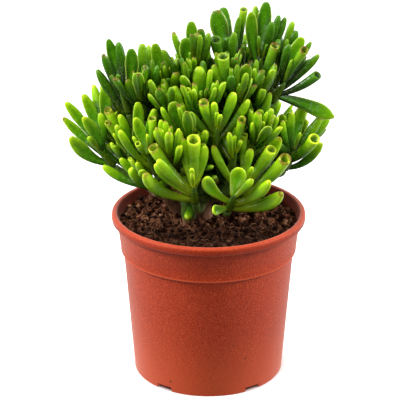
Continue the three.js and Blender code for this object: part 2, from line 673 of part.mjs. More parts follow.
function leafAt(number, drawn, [turn, tilt, share]) {
  const { axis, across, over, foot } = shoots[number];
  const azimuth = degrees(drawn.azimuth + turn);
  const lean = degrees(drawn.tilt + tilt);
  const outward = across.clone().multiplyScalar(Math.cos(azimuth)).addScaledVector(over, Math.sin(azimuth));
  const startWay = axis.clone().multiplyScalar(Math.cos(lean)).addScaledVector(outward, Math.sin(lean));
  const endWay = startWay.clone().addScaledVector(axis, drawn.lift).addScaledVector(up, drawn.lift);
  const root = foot.clone().addScaledVector(axis, drawn.height);
  root.addScaledVector(outward, stem.radius * rootInset);
  const side = new THREE.Vector3().crossVectors(axis, outward);
  const { width, kind } = drawn;
  const length = drawn.length * share;
  const middle = root.clone().addScaledVector(startWay, length / 2);
  const end = middle.clone().addScaledVector(endWay.normalize(), length / 2);
  return { number, length, curve: new THREE.QuadraticBezierCurve3(root, middle, end), width, kind, side };
}

function growLeaves() {
  const taken = ballsOfWood();
  const place = (leaf, press) => {
    const balls = leafBalls(leaf);
    if (!isFree(balls, taken, leaf.number, press)) return false;
    shoots[leaf.number].leaves.push(leaf);
    taken.push(...balls.map((ball) => ({ ...ball, shoot: leaf.number })));
    return true;
  };
  shoots.forEach(({ large = [] }, number) => {
    large.forEach((entry) => {
      otherPlaces.some((other) => place(largeLeaf(number, entry, other), mingle.large));
    });
  });
  const draw = makeDraw(seed);
  const mostPairs = Math.max(...shoots.map(({ pairs }) => pairs));
  for (let level = 1; level < mostPairs; level++) {
    shoots.forEach((shoot, number) => {
      if (level >= shoot.pairs) return;
      for (const side of [0, 1]) {
        const drawn = drawLeaf(shoot, level, side, draw);
        if (shoot.leaves.length >= leavesEach) continue;
        otherPlaces.some((other) => place(leafAt(number, drawn, other), mingle.pairs));
      }
    });
  }
}

// A cup's rim is cut aslant, higher on its outer side, and its middle is sunk in.
function leafSolid(leaf) {
  const { at, end } = leafRings[leaf.kind];
  const lastShare = at[at.length - 1];
  const rings = at.map((share) => {
    const { along, across, over } = leafFrame(leaf, share);
    const centre = leaf.curve.getPoint(share);
    const half = halfWidthShare(leaf.kind, share) * leaf.width / 2;
    const points = ring(centre, across, half, over, half * kinds[leaf.kind].flat, leafSides);
    if (leaf.kind === 'cup' && share === lastShare) {
      for (const point of points) {
        point.addScaledVector(along, -rimTilt * over.dot(point.clone().sub(centre)));
      }
    }
    return points;
  });
  const { along } = leafFrame(leaf, lastShare);
  return solidThroughRings(rings, leaf.curve.getPoint(lastShare).addScaledVector(along, end * leaf.length));
}

function makeShoot(shoot) {
  const { foot, axis, across, over, length, end } = shoot;
  const rings = [[0, 1], [0.94, 0.75]].map(([share, slim]) => {
    const radius = stem.radius * slim;
    return ring(foot.clone().addScaledVector(axis, length * share), across, radius, over, radius, stem.sides);
  });
  const green = solidThroughRings(rings, end.clone().addScaledVector(axis, 1));
  return Manifold.union([green, ...shoot.leaves.map(leafSolid)]);
}

// ---- the plant ----

function finish(name, colour, roughness) {
  return new THREE.MeshStandardMaterial({ name, color: colour, roughness, metalness: 0 });
}

const materials = {
  pot: finish('pot_plastic', colours.pot, 0.5),
  soil: finish('peat_soil', colours.soil, 0.95),
  wood: finish('woody_stem', colours.wood, 0.8),
  leaf: finish('green_leaf', colours.leaf, 0.4),
};

setOutShoots();
growLeaves();

const plant = new THREE.Group();
const posts = Object.keys(limbs).filter((name) => limbs[name].trunk);
plant.add(meshFrom(makePot(), 'pot', materials.pot));
plant.add(meshFrom(makeSoil(posts.map((name) => postSolid(name, seatGap))), 'soil', materials.soil));
for (const name of posts) {
  plant.add(meshFrom(makeTrunk(limbs[name].trunk), limbs[name].trunk, materials.wood));
}
shoots.forEach((shoot, number) => {
  const name = `shoot_${String(number + 1).padStart(2, '0')}`;
  plant.add(meshFrom(makeShoot(shoot), name, materials.leaf));
});

export default plant;
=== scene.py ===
import math

import bpy
import numpy as np
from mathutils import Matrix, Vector, noise
from mathutils.bvhtree import BVHTree


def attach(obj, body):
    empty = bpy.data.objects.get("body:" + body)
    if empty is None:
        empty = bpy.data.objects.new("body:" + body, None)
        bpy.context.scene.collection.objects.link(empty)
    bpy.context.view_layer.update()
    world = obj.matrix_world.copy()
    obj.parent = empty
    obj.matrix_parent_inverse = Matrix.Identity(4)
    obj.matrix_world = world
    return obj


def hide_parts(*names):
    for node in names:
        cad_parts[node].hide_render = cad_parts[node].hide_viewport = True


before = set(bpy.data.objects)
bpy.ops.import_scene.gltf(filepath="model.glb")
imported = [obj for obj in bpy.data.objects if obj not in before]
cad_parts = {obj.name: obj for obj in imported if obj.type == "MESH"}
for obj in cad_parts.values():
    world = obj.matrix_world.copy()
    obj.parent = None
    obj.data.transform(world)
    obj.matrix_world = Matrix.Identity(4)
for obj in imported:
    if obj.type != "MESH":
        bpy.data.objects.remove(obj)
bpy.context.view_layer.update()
print("frame loaded, nodes:", len(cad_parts))

mm = 0.001
up = np.array((0.0, 0.0, 1.0))
mergeDistance = 1e-7
drawRule = {"factor": 1664525, "step": 1013904223, "range": 2**32}


def deselectAll():
    if bpy.context.mode != "OBJECT":
        bpy.ops.object.mode_set(mode="OBJECT")
    bpy.ops.object.select_all(action="DESELECT")


def selectOnly(*pieces):
    deselectAll()
    for piece in pieces:
        piece.select_set(True)
    bpy.context.view_layer.objects.active = pieces[0]


def finishWith(piece, kind, **settings):
    modifier = piece.modifiers.new(kind.title(), kind)
    for key, value in settings.items():
        setattr(modifier, key, value)
    selectOnly(piece)
    bpy.ops.object.modifier_apply(modifier=modifier.name)


def openMesh(piece, mode):
    selectOnly(piece)
    bpy.ops.object.mode_set(mode="EDIT")
    bpy.ops.mesh.select_mode(type=mode)
    bpy.ops.mesh.select_all(action="SELECT")


def closeMesh(piece, name):
    bpy.ops.mesh.select_all(action="SELECT")
    bpy.ops.mesh.remove_doubles(threshold=mergeDistance)
    bpy.ops.mesh.normals_make_consistent(inside=False)
    bpy.ops.object.mode_set(mode="OBJECT")
    bpy.ops.object.transform_apply(location=True, rotation=True, scale=True)
    piece.name = piece.data.name = name
    return piece


def joinAll(pieces, name):
    selectOnly(*pieces)
    if len(pieces) > 1:
        bpy.ops.object.join()
    joined = bpy.context.view_layer.objects.active
    joined.name = joined.data.name = name
    return joined


def smooth(piece, angle=None):
    selectOnly(piece)
    if angle is None:
        bpy.ops.object.shade_smooth()
    else:
        bpy.ops.object.shade_smooth_by_angle(angle=math.radians(angle))


def dress(piece, slotName, material, *nodes):
    piece.data.materials.clear()
    piece.data.materials.append(material)
    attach(piece, "root")
    if nodes:
        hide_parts(*nodes)


def copyOf(piece):
    twin = piece.copy()
    twin.data = piece.data.copy()
    bpy.context.collection.objects.link(twin)
    return twin


def places(mesh):
    flat = np.empty(len(mesh.vertices) * 3)
    mesh.vertices.foreach_get("co", flat)
    return flat.reshape(-1, 3)


def setPlaces(mesh, points):
    mesh.vertices.foreach_set("co", points.ravel())
    mesh.update()


def markPoints(mesh, name, values):
    attribute = mesh.attributes.get(name) or mesh.attributes.new(name, "FLOAT", "POINT")
    flat = np.broadcast_to(np.asarray(values, dtype=np.float32), len(mesh.vertices))
    attribute.data.foreach_set("value", np.ascontiguousarray(flat))


def makeDraw(start):
    # draws between 0 and 1, the same each time
    state = start

    def draw():
        nonlocal state
        state = (state * drawRule["factor"] + drawRule["step"]) % drawRule["range"]
        return state / drawRule["range"]

    return draw


# materials


def startMaterial(name, roughness, **sockets):
    material = bpy.data.materials.new(name)
    material.use_nodes = True
    shader = material.node_tree.nodes["Principled BSDF"]
    shader.inputs["Roughness"].default_value = roughness
    for key, value in sockets.items():
        shader.inputs[key.replace("_", " ")].default_value = value
    return material, material.node_tree, shader


def addNode(tree, kind, settings=None, **inputs):
    node = tree.nodes.new(kind)
    for key, value in (settings or {}).items():
        setattr(node, key, value)
    for key, value in inputs.items():
        socket = node.inputs[int(key[1:])] if key[1:].isdigit() else node.inputs[key.replace("_", " ")]
        if isinstance(value, bpy.types.NodeSocket):
            tree.links.new(value, socket)
        else:
            socket.default_value = value
    return node


def colourRamp(tree, factor, look, stops):
    # each stop is a place on the ramp and the name of its colour in the look
    ramp = addNode(tree, "ShaderNodeValToRGB", Fac=factor)
    elements = ramp.color_ramp.elements
    while len(elements) < len(stops):
        elements.new(0.5)
    for element, (place, name) in zip(elements, stops):
        element.position = place
        element.color = (*look[name], 1)
    return ramp.outputs["Color"]


def mixColours(tree, factor, first, second, blend="MIX"):
    mix = tree.nodes.new("ShaderNodeMix")
    mix.data_type = "RGBA"
    mix.blend_type = blend
    for socket, value in ((mix.inputs[0], factor), (mix.inputs[6], first), (mix.inputs[7], second)):
        if isinstance(value, bpy.types.NodeSocket):
            tree.links.new(value, socket)
        else:
            socket.default_value = value if isinstance(value, float) else (*value, 1)
    return mix.outputs[2]


def sums(tree, operation, first, second=0.0):
    return addNode(tree, "ShaderNodeMath", {"operation": operation}, _0=first, _1=second).outputs[0]


def times(tree, first, second):
    return sums(tree, "MULTIPLY", first, second)


def around(tree, pattern, width):
    # a pattern about its middle, as a shift up and down
    return times(tree, sums(tree, "SUBTRACT", pattern, 0.5), width)


def share(tree, value, start, full, smoothly=True):
    # 0 at the start and before it, 1 where it is full and past it
    settings = {"interpolation_type": "SMOOTHSTEP" if smoothly else "LINEAR"}
    return addNode(
        tree, "ShaderNodeMapRange", settings, Value=value, From_Min=start, From_Max=full
    ).outputs[0]


def tint(tree, colour, amount, strength, other):
    # the other colour comes in by an amount from 0 to 1, and to this strength at most
    return mixColours(tree, times(tree, amount, strength), colour, other)


def objectPlaces(tree):
    return addNode(tree, "ShaderNodeTexCoord").outputs["Object"]


def partOf(tree, where, axis):
    return addNode(tree, "ShaderNodeSeparateXYZ", Vector=where).outputs[axis]


def markOf(tree, name):
    return addNode(tree, "ShaderNodeAttribute", {"attribute_name": name}).outputs["Fac"]


def grain(tree, where, scale, detail=3.0, rough=0.55):
    return addNode(
        tree, "ShaderNodeTexNoise", Vector=where, Scale=scale, Detail=detail, Roughness=rough
    ).outputs["Fac"]


def softDots(tree, where, scale, edge, rare=None):
    # a dot in each cell, or only in the cells whose draw lies past rare
    cells = addNode(tree, "ShaderNodeTexVoronoi", Vector=where, Scale=scale).outputs
    dots = sums(tree, "SUBTRACT", 1.0, share(tree, cells["Distance"], *edge))
    if rare is None:
        return dots
    draw = addNode(tree, "ShaderNodeSeparateColor", Color=cells["Color"]).outputs[0]
    return times(tree, share(tree, draw, *rare), dots)


def addBump(tree, shader, height, distance, strength, before=None):
    inputs = {"Height": height, "Distance": distance, "Strength": strength}
    if before is not None:
        inputs["Normal"] = before
    bump = addNode(tree, "ShaderNodeBump", **inputs)
    tree.links.new(bump.outputs[0], shader.inputs["Normal"])
    return bump.outputs[0]


def setColour(tree, shader, colour, roughness=None, pattern=None):
    tree.links.new(colour, shader.inputs["Base Color"])
    if pattern is not None:
        rough = sums(tree, "ADD", roughness, around(tree, pattern, 0.12))
        tree.links.new(rough, shader.inputs["Roughness"])


potFinish = {
    "body": (0.425, 0.038, 0.0065),
    # the pale grain, also used as the painted highlight of the ledge's bead and the painted light of the
    # lower wall
    "light": (0.620, 0.085, 0.024),
    # the dark grain, also used as the painted shade of the lip's outer side
    "dark": (0.230, 0.015, 0.0025),
    # painted light: the colour of the lip's lit top
    "lip": (0.500, 0.062, 0.016),
    "speck": (0.060, 0.018, 0.010),
    "roughness": 0.5,
    "specular": 0.2,
    "sheen": 0.34,
    "sheenRoughness": 0.38,
    "sheenTint": (1, 0.76, 0.64, 1),
    "grainScale": 1500,
    "patchScale": 22,
    "speckScale": 130,
    # painted light and shade by height: the lip's top lighter where light falls on it, the lip's outer side
    # darker in its shade, a painted highlight along the ledge's bead, and the lower wall lighter as if
    # better lit; heights between which a colour comes in or goes out, in millimetres, its strength and name
    "levels": [
        # painted light on the lip's top
        ([(103.6, 105.0)], 0.3, "lip"),
        # painted shade on the lip's outer side
        ([(104.2, 102.8), (100.2, 100.8)], 0.5, "dark"),
        # a painted highlight along the ledge's bead
        ([(80.4, 80.8), (82.4, 81.6)], 0.7, "light"),
        # painted light, lighter towards the foot
        ([(55, 0)], 0.6, "light"),
    ],
}


def makePotPlastic():
    look = potFinish
    material, tree, shader = startMaterial(
        "potPlastic", look["roughness"], Specular_IOR_Level=look["specular"], Sheen_Weight=look["sheen"],
        Sheen_Roughness=look["sheenRoughness"], Sheen_Tint=look["sheenTint"],
    )
    where = objectPlaces(tree)
    fine = grain(tree, where, look["grainScale"], 2.0, 0.7)
    broad = grain(tree, where, look["patchScale"])
    colour = colourRamp(tree, fine, look, [(0.37, "dark"), (0.48, "body"), (0.54, "body"), (0.65, "light")])
    colour = tint(tree, colour, share(tree, broad, 0.45, 0.7), 0.25, look["dark"])
    height = partOf(tree, where, 2)
    # the bands of painted light and shade, one after another by height
    for edges, amount, name in look["levels"]:
        for start, full in edges:
            amount = times(tree, share(tree, height, start * mm, full * mm), amount)
        colour = mixColours(tree, amount, colour, look[name])
    specks = softDots(tree, where, look["speckScale"], (0.06, 0.12), rare=(0.90, 0.91))
    colour = mixColours(tree, specks, colour, look["speck"])
    setColour(tree, shader, colour, look["roughness"], fine)
    addBump(tree, shader, fine, 0.0002, 0.7)
    return material


soilFinish = {
    "deep": (0.008, 0.0022, 0.0010),
    "peat": (0.085, 0.027, 0.0120),
    "light": (0.340, 0.140, 0.066),
    # how far the painted shade at the front darkens the peat
    "frontShade": 0.7,
    "frontShadeFrom": (0.0, -0.03),  # where the painted shade starts towards the front, and where it is full
    "roughness": 0.95,
    "specular": 0.08,
}


def paintFrontShade(tree, where, colour):
    # painted shade: the peat is darker towards the front, where the plant shades it
    amount = share(tree, partOf(tree, where, 1), *soilFinish["frontShadeFrom"])
    return tint(tree, colour, amount, soilFinish["frontShade"], soilFinish["deep"])


def makePeat():
    look = soilFinish
    material, tree, shader = startMaterial("peat", look["roughness"], Specular_IOR_Level=look["specular"])
    where = objectPlaces(tree)
    lumps = grain(tree, where, 160, 4.0, 0.7)
    fine = grain(tree, where, 900, 4.0, 0.75)
    both = sums(tree, "ADD", times(tree, lumps, 0.5), times(tree, fine, 0.5))
    colour = colourRamp(tree, both, look, [(0.40, "deep"), (0.51, "peat"), (0.64, "light")])
    flecks = softDots(tree, where, 420, (0.2, 0.4), rare=(0.86, 0.9))
    colour = tint(tree, colour, flecks, 0.8, look["light"])
    # with painted shade towards the front
    setColour(tree, shader, paintFrontShade(tree, where, colour))
    first = addBump(tree, shader, lumps, 0.002, 0.8)
    addBump(tree, shader, fine, 0.0006, 0.9, first)
    return material


crumbFinish = {
    "dark": (0.011, 0.0032, 0.0016),
    "brown": (0.110, 0.038, 0.018),
    "pale": (0.360, 0.170, 0.090),
}


def makeCrumbFinish():
    material, tree, shader = startMaterial(
        "crumb", soilFinish["roughness"], Specular_IOR_Level=soilFinish["specular"]
    )
    where = objectPlaces(tree)
    fine = grain(tree, where, 1400, 3.0, 0.7)
    tone = sums(tree, "ADD", markOf(tree, "tone"), around(tree, fine, 0.5))
    colour = colourRamp(tree, tone, crumbFinish, [(0.1, "dark"), (0.6, "brown"), (0.97, "pale")])
    # with painted shade towards the front
    setColour(tree, shader, paintFrontShade(tree, where, colour))
    addBump(tree, shader, fine, 0.0004, 0.8)
    return material


woodFinish = {
    "bark": (0.150, 0.058, 0.027),
    "pale": (0.340, 0.170, 0.090),
    "green": (0.030, 0.075, 0.006),
    "greenLight": (0.130, 0.250, 0.018),
    "roughness": 0.72,
}


def makeBark():
    look = woodFinish
    material, tree, shader = startMaterial("bark", look["roughness"], Specular_IOR_Level=0.35)
    where = objectPlaces(tree)
    long = addNode(tree, "ShaderNodeMapping", Vector=where, Scale=(1, 1, 0.35)).outputs[0]
    streaks = grain(tree, long, 700, 4.0, 0.65)
    patches = grain(tree, where, 120, 2.0)
    brown = colourRamp(tree, streaks, look, [(0.32, "bark"), (0.72, "pale")])
    green = colourRamp(tree, streaks, look, [(0.32, "green"), (0.72, "greenLight")])
    level = sums(tree, "ADD", markOf(tree, "green"), around(tree, patches, 0.6))
    setColour(tree, shader, mixColours(tree, share(tree, level, 0.2, 0.7), brown, green))
    addBump(tree, shader, streaks, 0.0005, 0.7)
    return material


leafFinish = {
    # the root's dark green is partly painted shade
    "root": (0.007, 0.036, 0.0006),
    "low": (0.014, 0.080, 0.0006),
    "middle": (0.064, 0.240, 0.0014),
    "high": (0.340, 0.640, 0.0040),
    # the tip and rim colour is partly a painted highlight; the pale dots use it too
    "rim": (0.750, 0.950, 0.0300),
    # painted shade inside a cup
    "inside": (0.070, 0.180, 0.0040),
    "blush": (0.150, 0.052, 0.0140),
    # the yellow of young leaves, which low leaves at the front also get as painted light
    "young": (0.580, 0.780, 0.0080),
    # painted rim light: the pale colour along a flat leaf's edges
    "edge": (0.620, 0.820, 0.1000),
    "shaded": (0.10, 0.25, 0.22),  # a leaf of the darkest tone, to its usual colour
    "roughness": 0.25,
    "specular": 0.24,
    # where each colour lies on the ramp, from the leaf's root to its tip and on into its cup: the leaf's
    # own green, darker at the root where it meets the stem, partly as painted shade, lighter towards the
    # tip and the cup's rim, partly as a painted highlight, and darker inside a cup as painted shade
    "length": [
        (0.04, "root"), (0.26, "low"), (0.50, "middle"), (0.74, "high"), (0.81, "rim"), (0.89, "inside"),
    ],
}


def makeLeafSkin():
    look = leafFinish
    material, tree, shader = startMaterial(
        "leafSkin", look["roughness"], Specular_IOR_Level=look["specular"],
        Subsurface_Weight=0.08, Subsurface_Scale=0.0012, Subsurface_Radius=(0.7, 1.0, 0.2),
    )
    where = objectPlaces(tree)
    along, edge, tone, young, blush = (
        markOf(tree, name) for name in ("along", "edge", "tone", "young", "blush")
    )
    blotch = grain(tree, where, 260, 2.0)
    fine = grain(tree, where, 1800, 2.0, 0.6)
    # the ramp runs over 1.25 leaf lengths
    shade = times(tree, sums(tree, "ADD", along, around(tree, blotch, 0.16)), 0.8)
    colour = colourRamp(tree, shade, look, look["length"])
    # painted light and shade: a leaf of low tone is multiplied towards the shaded colour
    darker = mixColours(tree, 1.0, colour, look["shaded"], "MULTIPLY")
    colour = mixColours(tree, share(tree, tone, 0.8, 0.0, smoothly=False), colour, darker)
    # young leaves are yellower, most near their base; on low leaves at the front this is partly painted
    # light
    nearBase = sums(tree, "ADD", 0.3, times(tree, share(tree, along, 0.7, 0.1), 0.35))
    colour = tint(tree, colour, young, nearBase, look["young"])
    # painted shade: a flat leaf is darker down its middle, away from its edges
    middle = times(tree, share(tree, edge, 0.25, 0.0), share(tree, along, 1.0, 0.8))
    colour = tint(tree, colour, middle, 0.75, look["middle"])
    # painted rim light: a flat leaf's edges are pale
    pale = times(tree, sums(tree, "POWER", edge, 3.0), share(tree, along, 0.1, 0.5))
    colour = tint(tree, colour, pale, 0.9, look["edge"])
    atTip = times(tree, share(tree, along, 0.92, 1.0), share(tree, along, 1.12, 1.04))
    red = times(tree, times(tree, atTip, blush), share(tree, blotch, 0.25, 0.6))
    colour = mixColours(tree, red, colour, look["blush"])
    colour = tint(tree, colour, softDots(tree, where, 1500, (0.12, 0.3)), 0.3, look["rim"])
    setColour(tree, shader, colour, look["roughness"], fine)
    first = addBump(tree, shader, blotch, 0.0012, 0.5)
    addBump(tree, shader, fine, 0.0001, 0.3, first)
    return material


potPlastic = makePotPlastic()
peat = makePeat()
crumbSkin = makeCrumbFinish()
bark = makeBark()
leafSkin = makeLeafSkin()
print("materials made")


# the pot

pot = {
    "height": 105.5,
    "rimRadius": 60.0,
    "rimThroat": 56.4,
    "lipDepth": 4.9,
    "collarRadius": 56.6,
    "ledgeRadius": 54.5,
    "ledgeHeight": 80.8,
    "footRadius": 46.8,
    "footRound": 0.3,
    "taper": 0.0765,
    "wall": 1.5,
    "footDisc": 30.0,
    "channelHeight": 2.5,
    "skirtWidth": 2.2,
    "lipRound": 1.6,
    "throatRound": 1.1,
    # out and up from where the ledge, the collar's end and the lip's lower edge are
    "ledgeBead": [(-0.3, 0), (0.1, 0.35), (0.15, 0.8), (0.02, 1.2)],
    "underLip": [(0.2, -0.4), (0.9, 0)],
    "lipEdge": [(-0.6, 0.1), (-0.1, 0.5), (0, 1.1)],
    "steps": 144,
    "notches": 5,
    "notchWidth": 11.0,
    "notchHeight": 3.0,
    "firstNotch": -126.0,
    "holes": 8,
    "holeRadius": 3.0,
    "holeCircle": 38.0,
    "creaseAngle": 38,
}


def bodyRadius(height):
    return pot["footRadius"] + pot["taper"] * height


def collarRadius(height):
    rise = (height - pot["ledgeHeight"]) / (pot["height"] - pot["lipDepth"] - pot["ledgeHeight"])
    return pot["ledgeRadius"] + (pot["collarRadius"] - pot["ledgeRadius"]) * rise


def roundCorner(radius, height, size, start, count=4):
    # a quarter turn about a corner's own centre, from its start angle in degrees
    turns = [math.radians(start + 90 * i / count) for i in range(count + 1)]
    return [(radius + size * math.cos(turn), height + size * math.sin(turn)) for turn in turns]


def offsetBy(radius, height, steps):
    return [(radius + out, height + rise) for out, rise in steps]


def onCircle(radius, degrees):
    turn = math.radians(degrees)
    return turn, (radius * mm * math.cos(turn), radius * mm * math.sin(turn), 0)


def turnProfile(name, profile, steps):
    # a vertex is pulled along the profile, and the line is spun round the axis
    deselectAll()
    bpy.ops.mesh.primitive_plane_add(size=mm)
    piece = bpy.context.active_object
    openMesh(piece, "VERT")
    bpy.ops.mesh.merge(type="CENTER")
    first = profile[0]
    bpy.ops.transform.translate(value=(first[0] * mm, 0, first[1] * mm))
    for (radius, height), (nextRadius, nextHeight) in zip(profile, profile[1:]):
        pull = ((nextRadius - radius) * mm, 0, (nextHeight - height) * mm)
        bpy.ops.mesh.extrude_vertices_move(TRANSFORM_OT_translate={"value": pull})
    bpy.ops.mesh.select_all(action="SELECT")
    bpy.ops.mesh.spin(steps=steps, angle=2 * math.pi, center=(0, 0, 0), axis=(0, 0, 1))
    return closeMesh(piece, name)


def potProfile():
    size = pot
    height, throat, wall, rim = size["height"], size["rimThroat"], size["wall"], size["rimRadius"]
    lipFoot = height - size["lipDepth"]
    foot, footRound, footDisc = size["footRadius"], size["footRound"], size["footDisc"]
    skirt, channel, ledge = foot - size["skirtWidth"], size["channelHeight"], size["ledgeHeight"]
    lip, throatRound = size["lipRound"], size["throatRound"]
    floorTop = channel + wall
    return [
        (0, 0), (footDisc, 0), (footDisc + channel, channel), (skirt - channel / 2, channel),
        (skirt, 0), (foot - footRound, 0), (foot, footRound),
        *[(bodyRadius(rise), rise) for rise in (8, 44, ledge - 0.5)],
        *offsetBy(size["ledgeRadius"], ledge, size["ledgeBead"]),
        *[(collarRadius(rise), rise) for rise in (ledge + 8, lipFoot - 2)],
        *offsetBy(size["collarRadius"], lipFoot, size["underLip"]),
        *offsetBy(rim, lipFoot, size["lipEdge"]),
        *roundCorner(rim - lip, height - lip, lip, 0),
        *roundCorner(throat + throatRound, height - throatRound, throatRound, 90),
        (throat - 0.1, lipFoot + 1), (collarRadius(lipFoot) - wall, lipFoot - 0.5),
        (collarRadius(ledge) - wall, ledge + wall / 2), (bodyRadius(ledge) - wall, ledge - wall),
        (bodyRadius(44) - wall, 44), (bodyRadius(floorTop) - wall, floorTop),
        (footDisc + channel, floorTop), (footDisc, wall), (0, wall),
    ]


def notchCutters():
    size = pot
    skirt = size["skirtWidth"]
    for number in range(size["notches"]):
        turn, place = onCircle(
            size["footRadius"] - skirt + 1.5 * skirt, size["firstNotch"] + 360 * number / size["notches"]
        )
        deselectAll()
        bpy.ops.mesh.primitive_cube_add(size=1, location=place)
        cutter = bpy.context.active_object
        cutter.rotation_euler.z = turn
        cutter.scale = (4 * skirt * mm, size["notchWidth"] * mm, 2 * size["notchHeight"] * mm)
        bpy.ops.object.transform_apply(location=True, rotation=True, scale=True)
        finishWith(cutter, "BEVEL", width=0.5 * mm, segments=2)
        yield cutter


def holeCutters():
    size = pot
    depth = 4 * (size["channelHeight"] + size["wall"]) * mm
    for number in range(size["holes"]):
        _, place = onCircle(size["holeCircle"], 360 * (number + 0.5) / size["holes"])
        deselectAll()
        bpy.ops.mesh.primitive_cylinder_add(
            vertices=24, radius=size["holeRadius"] * mm, depth=depth, location=place
        )
        bpy.ops.object.transform_apply(location=True, rotation=True, scale=True)
        yield bpy.context.active_object


def makePot():
    piece = turnProfile("pot_fine", potProfile(), pot["steps"])
    tool = joinAll([*notchCutters(), *holeCutters()], "cutter")
    finishWith(piece, "BOOLEAN", operation="DIFFERENCE", solver="EXACT", object=tool)
    bpy.data.objects.remove(tool)
    smooth(piece, pot["creaseAngle"])
    dress(piece, "pot_plastic", potPlastic, "pot")


makePot()
print("pot made")


# the soil

soil = {
    "edge": 99.3,
    "mound": 0.5,
    "bump": 0.8,
    "gap": 0.3,
    "steps": 160,
    "rings": 56,
    "clods": 3.0,  # how far the surface rises and falls, millimetres
    "clodSize": 9.0,
    "lumps": 3.6,
    "lumpSize": 2.6,
    "crumbs": 2400,
    "crumbSize": (0.5, 2.2),
    "crumbForm": (1.15, 0.85, 0.7),
    "crumbSeed": 31,
    "fibres": 380,
    "fibreLength": (4, 14),
    "fibreThickness": 0.19,
    "fibrePoints": 5,
    "fibreArch": 2.2,
    "fibreTone": 0.85,
    "fibreSeed": 57,
    "seenFrom": 0.2,  # metres, from where the soil's surface is looked for
}


def soilHeight(x, y):
    out = math.hypot(x, y) / pot["rimThroat"]
    bumps = math.sin(x * 0.31 + 1.2) * math.cos(y * 0.27 - 0.6) + 0.6 * math.sin(x * 0.17 - y * 0.41)
    return soil["edge"] + soil["mound"] * (1 - out * out) + soil["bump"] * bumps


def makeSoil():
    size = soil
    gap, wall, ledge, edge = size["gap"], pot["wall"], pot["ledgeHeight"], size["edge"]
    channel, disc = pot["channelHeight"], pot["footDisc"]
    floor = channel + wall + gap
    rimIn = collarRadius(edge) - wall - gap
    profile = [
        (0, wall + gap), (disc - gap, wall + gap), (disc + channel - gap, floor),
        (bodyRadius(floor) - wall - gap, floor), (bodyRadius(ledge) - wall - gap, ledge - wall),
        (collarRadius(ledge) - wall - gap, ledge + wall / 2 + gap), (rimIn, edge - 2),
        *[(rimIn * (1 - i / size["rings"]), edge) for i in range(size["rings"] + 1)],
    ]
    piece = turnProfile("soil_fine", profile, size["steps"])
    points = places(piece.data)
    for point in points:
        if point[2] > (edge - 0.5) * mm:
            x, y = point[0] / mm, point[1] / mm
            inwards = min(1.0, (rimIn - math.hypot(x, y)) / 3)
            rise = size["clods"] * noise.fractal(Vector((x, y, 3)) / size["clodSize"], 1.0, 2.0, 3)
            rise += size["lumps"] * noise.fractal(Vector((x, y, 9)) / size["lumpSize"], 0.8, 2.0, 3)
            point[2] = (soilHeight(x, y) + rise * (0.35 + 0.65 * inwards)) * mm
    setPlaces(piece.data, points)
    smooth(piece)
    dress(piece, "peat_soil", peat, "soil")
    bpy.context.view_layer.update()
    return BVHTree.FromObject(piece, bpy.context.evaluated_depsgraph_get())


def onGround(ground, x, y):
    return ground.ray_cast((x * mm, y * mm, soil["seenFrom"]), (0, 0, -1))[0]


def placeWithin(reach, draw):
    out, turn = reach * math.sqrt(draw()), 2 * math.pi * draw()
    return out * math.cos(turn), out * math.sin(turn)


def crumbShape(number):
    deselectAll()
    bpy.ops.mesh.primitive_ico_sphere_add(subdivisions=1, radius=1)
    piece = bpy.context.active_object
    openMesh(piece, "VERT")
    bpy.ops.transform.vertex_random(offset=0.45, seed=number)
    bpy.ops.transform.resize(value=soil["crumbForm"])
    return closeMesh(piece, f"crumbShape{number}")


def makeCrumbs(ground):
    draw = makeDraw(soil["crumbSeed"])
    shapes = [crumbShape(number) for number in range(1, 5)]
    crumbs = []
    low, high = soil["crumbSize"]
    for _ in range(soil["crumbs"]):
        spot = onGround(ground, *placeWithin(pot["rimThroat"] - 3, draw))
        big, pale, spin, pick = draw(), draw(), draw(), draw()
        crumb = copyOf(shapes[int(pick * len(shapes))])
        radius = (low + (high - low) * big**2.5) * mm
        points = places(crumb.data) * radius
        cos, sin = math.cos(7 * spin), math.sin(7 * spin)
        across = points[:, 0] * cos - points[:, 1] * sin
        points[:, 1] = points[:, 0] * sin + points[:, 1] * cos
        points[:, 0] = across
        setPlaces(crumb.data, points + np.array(spot) + np.array((0, 0, radius * 0.25)))
        markPoints(crumb.data, "tone", pale**1.9)
        crumbs.append(crumb)
    piece = joinAll(crumbs, "soil_crumbs")
    for shape in shapes:
        bpy.data.objects.remove(shape)
    smooth(piece)
    dress(piece, "peat_soil", crumbSkin)


def drawStrand(curve, points, radii):
    strand = curve.splines.new("BEZIER")
    strand.bezier_points.add(len(points) - 1)
    for knot, point, radius in zip(strand.bezier_points, points, radii):
        knot.co, knot.radius = point, radius
        knot.handle_left_type = knot.handle_right_type = "AUTO"


def startStrands(name, sides, steps):
    curve = bpy.data.curves.new(name, "CURVE")
    curve.dimensions = "3D"
    curve.bevel_depth = mm
    curve.bevel_resolution = max(0, sides // 2 - 2)
    curve.resolution_u = steps
    curve.use_fill_caps = True
    piece = bpy.data.objects.new(name, curve)
    bpy.context.collection.objects.link(piece)
    return piece


def toMesh(piece):
    selectOnly(piece)
    bpy.ops.object.convert(target="MESH")
    made = bpy.context.active_object
    openMesh(made, "FACE")
    return closeMesh(made, piece.name)


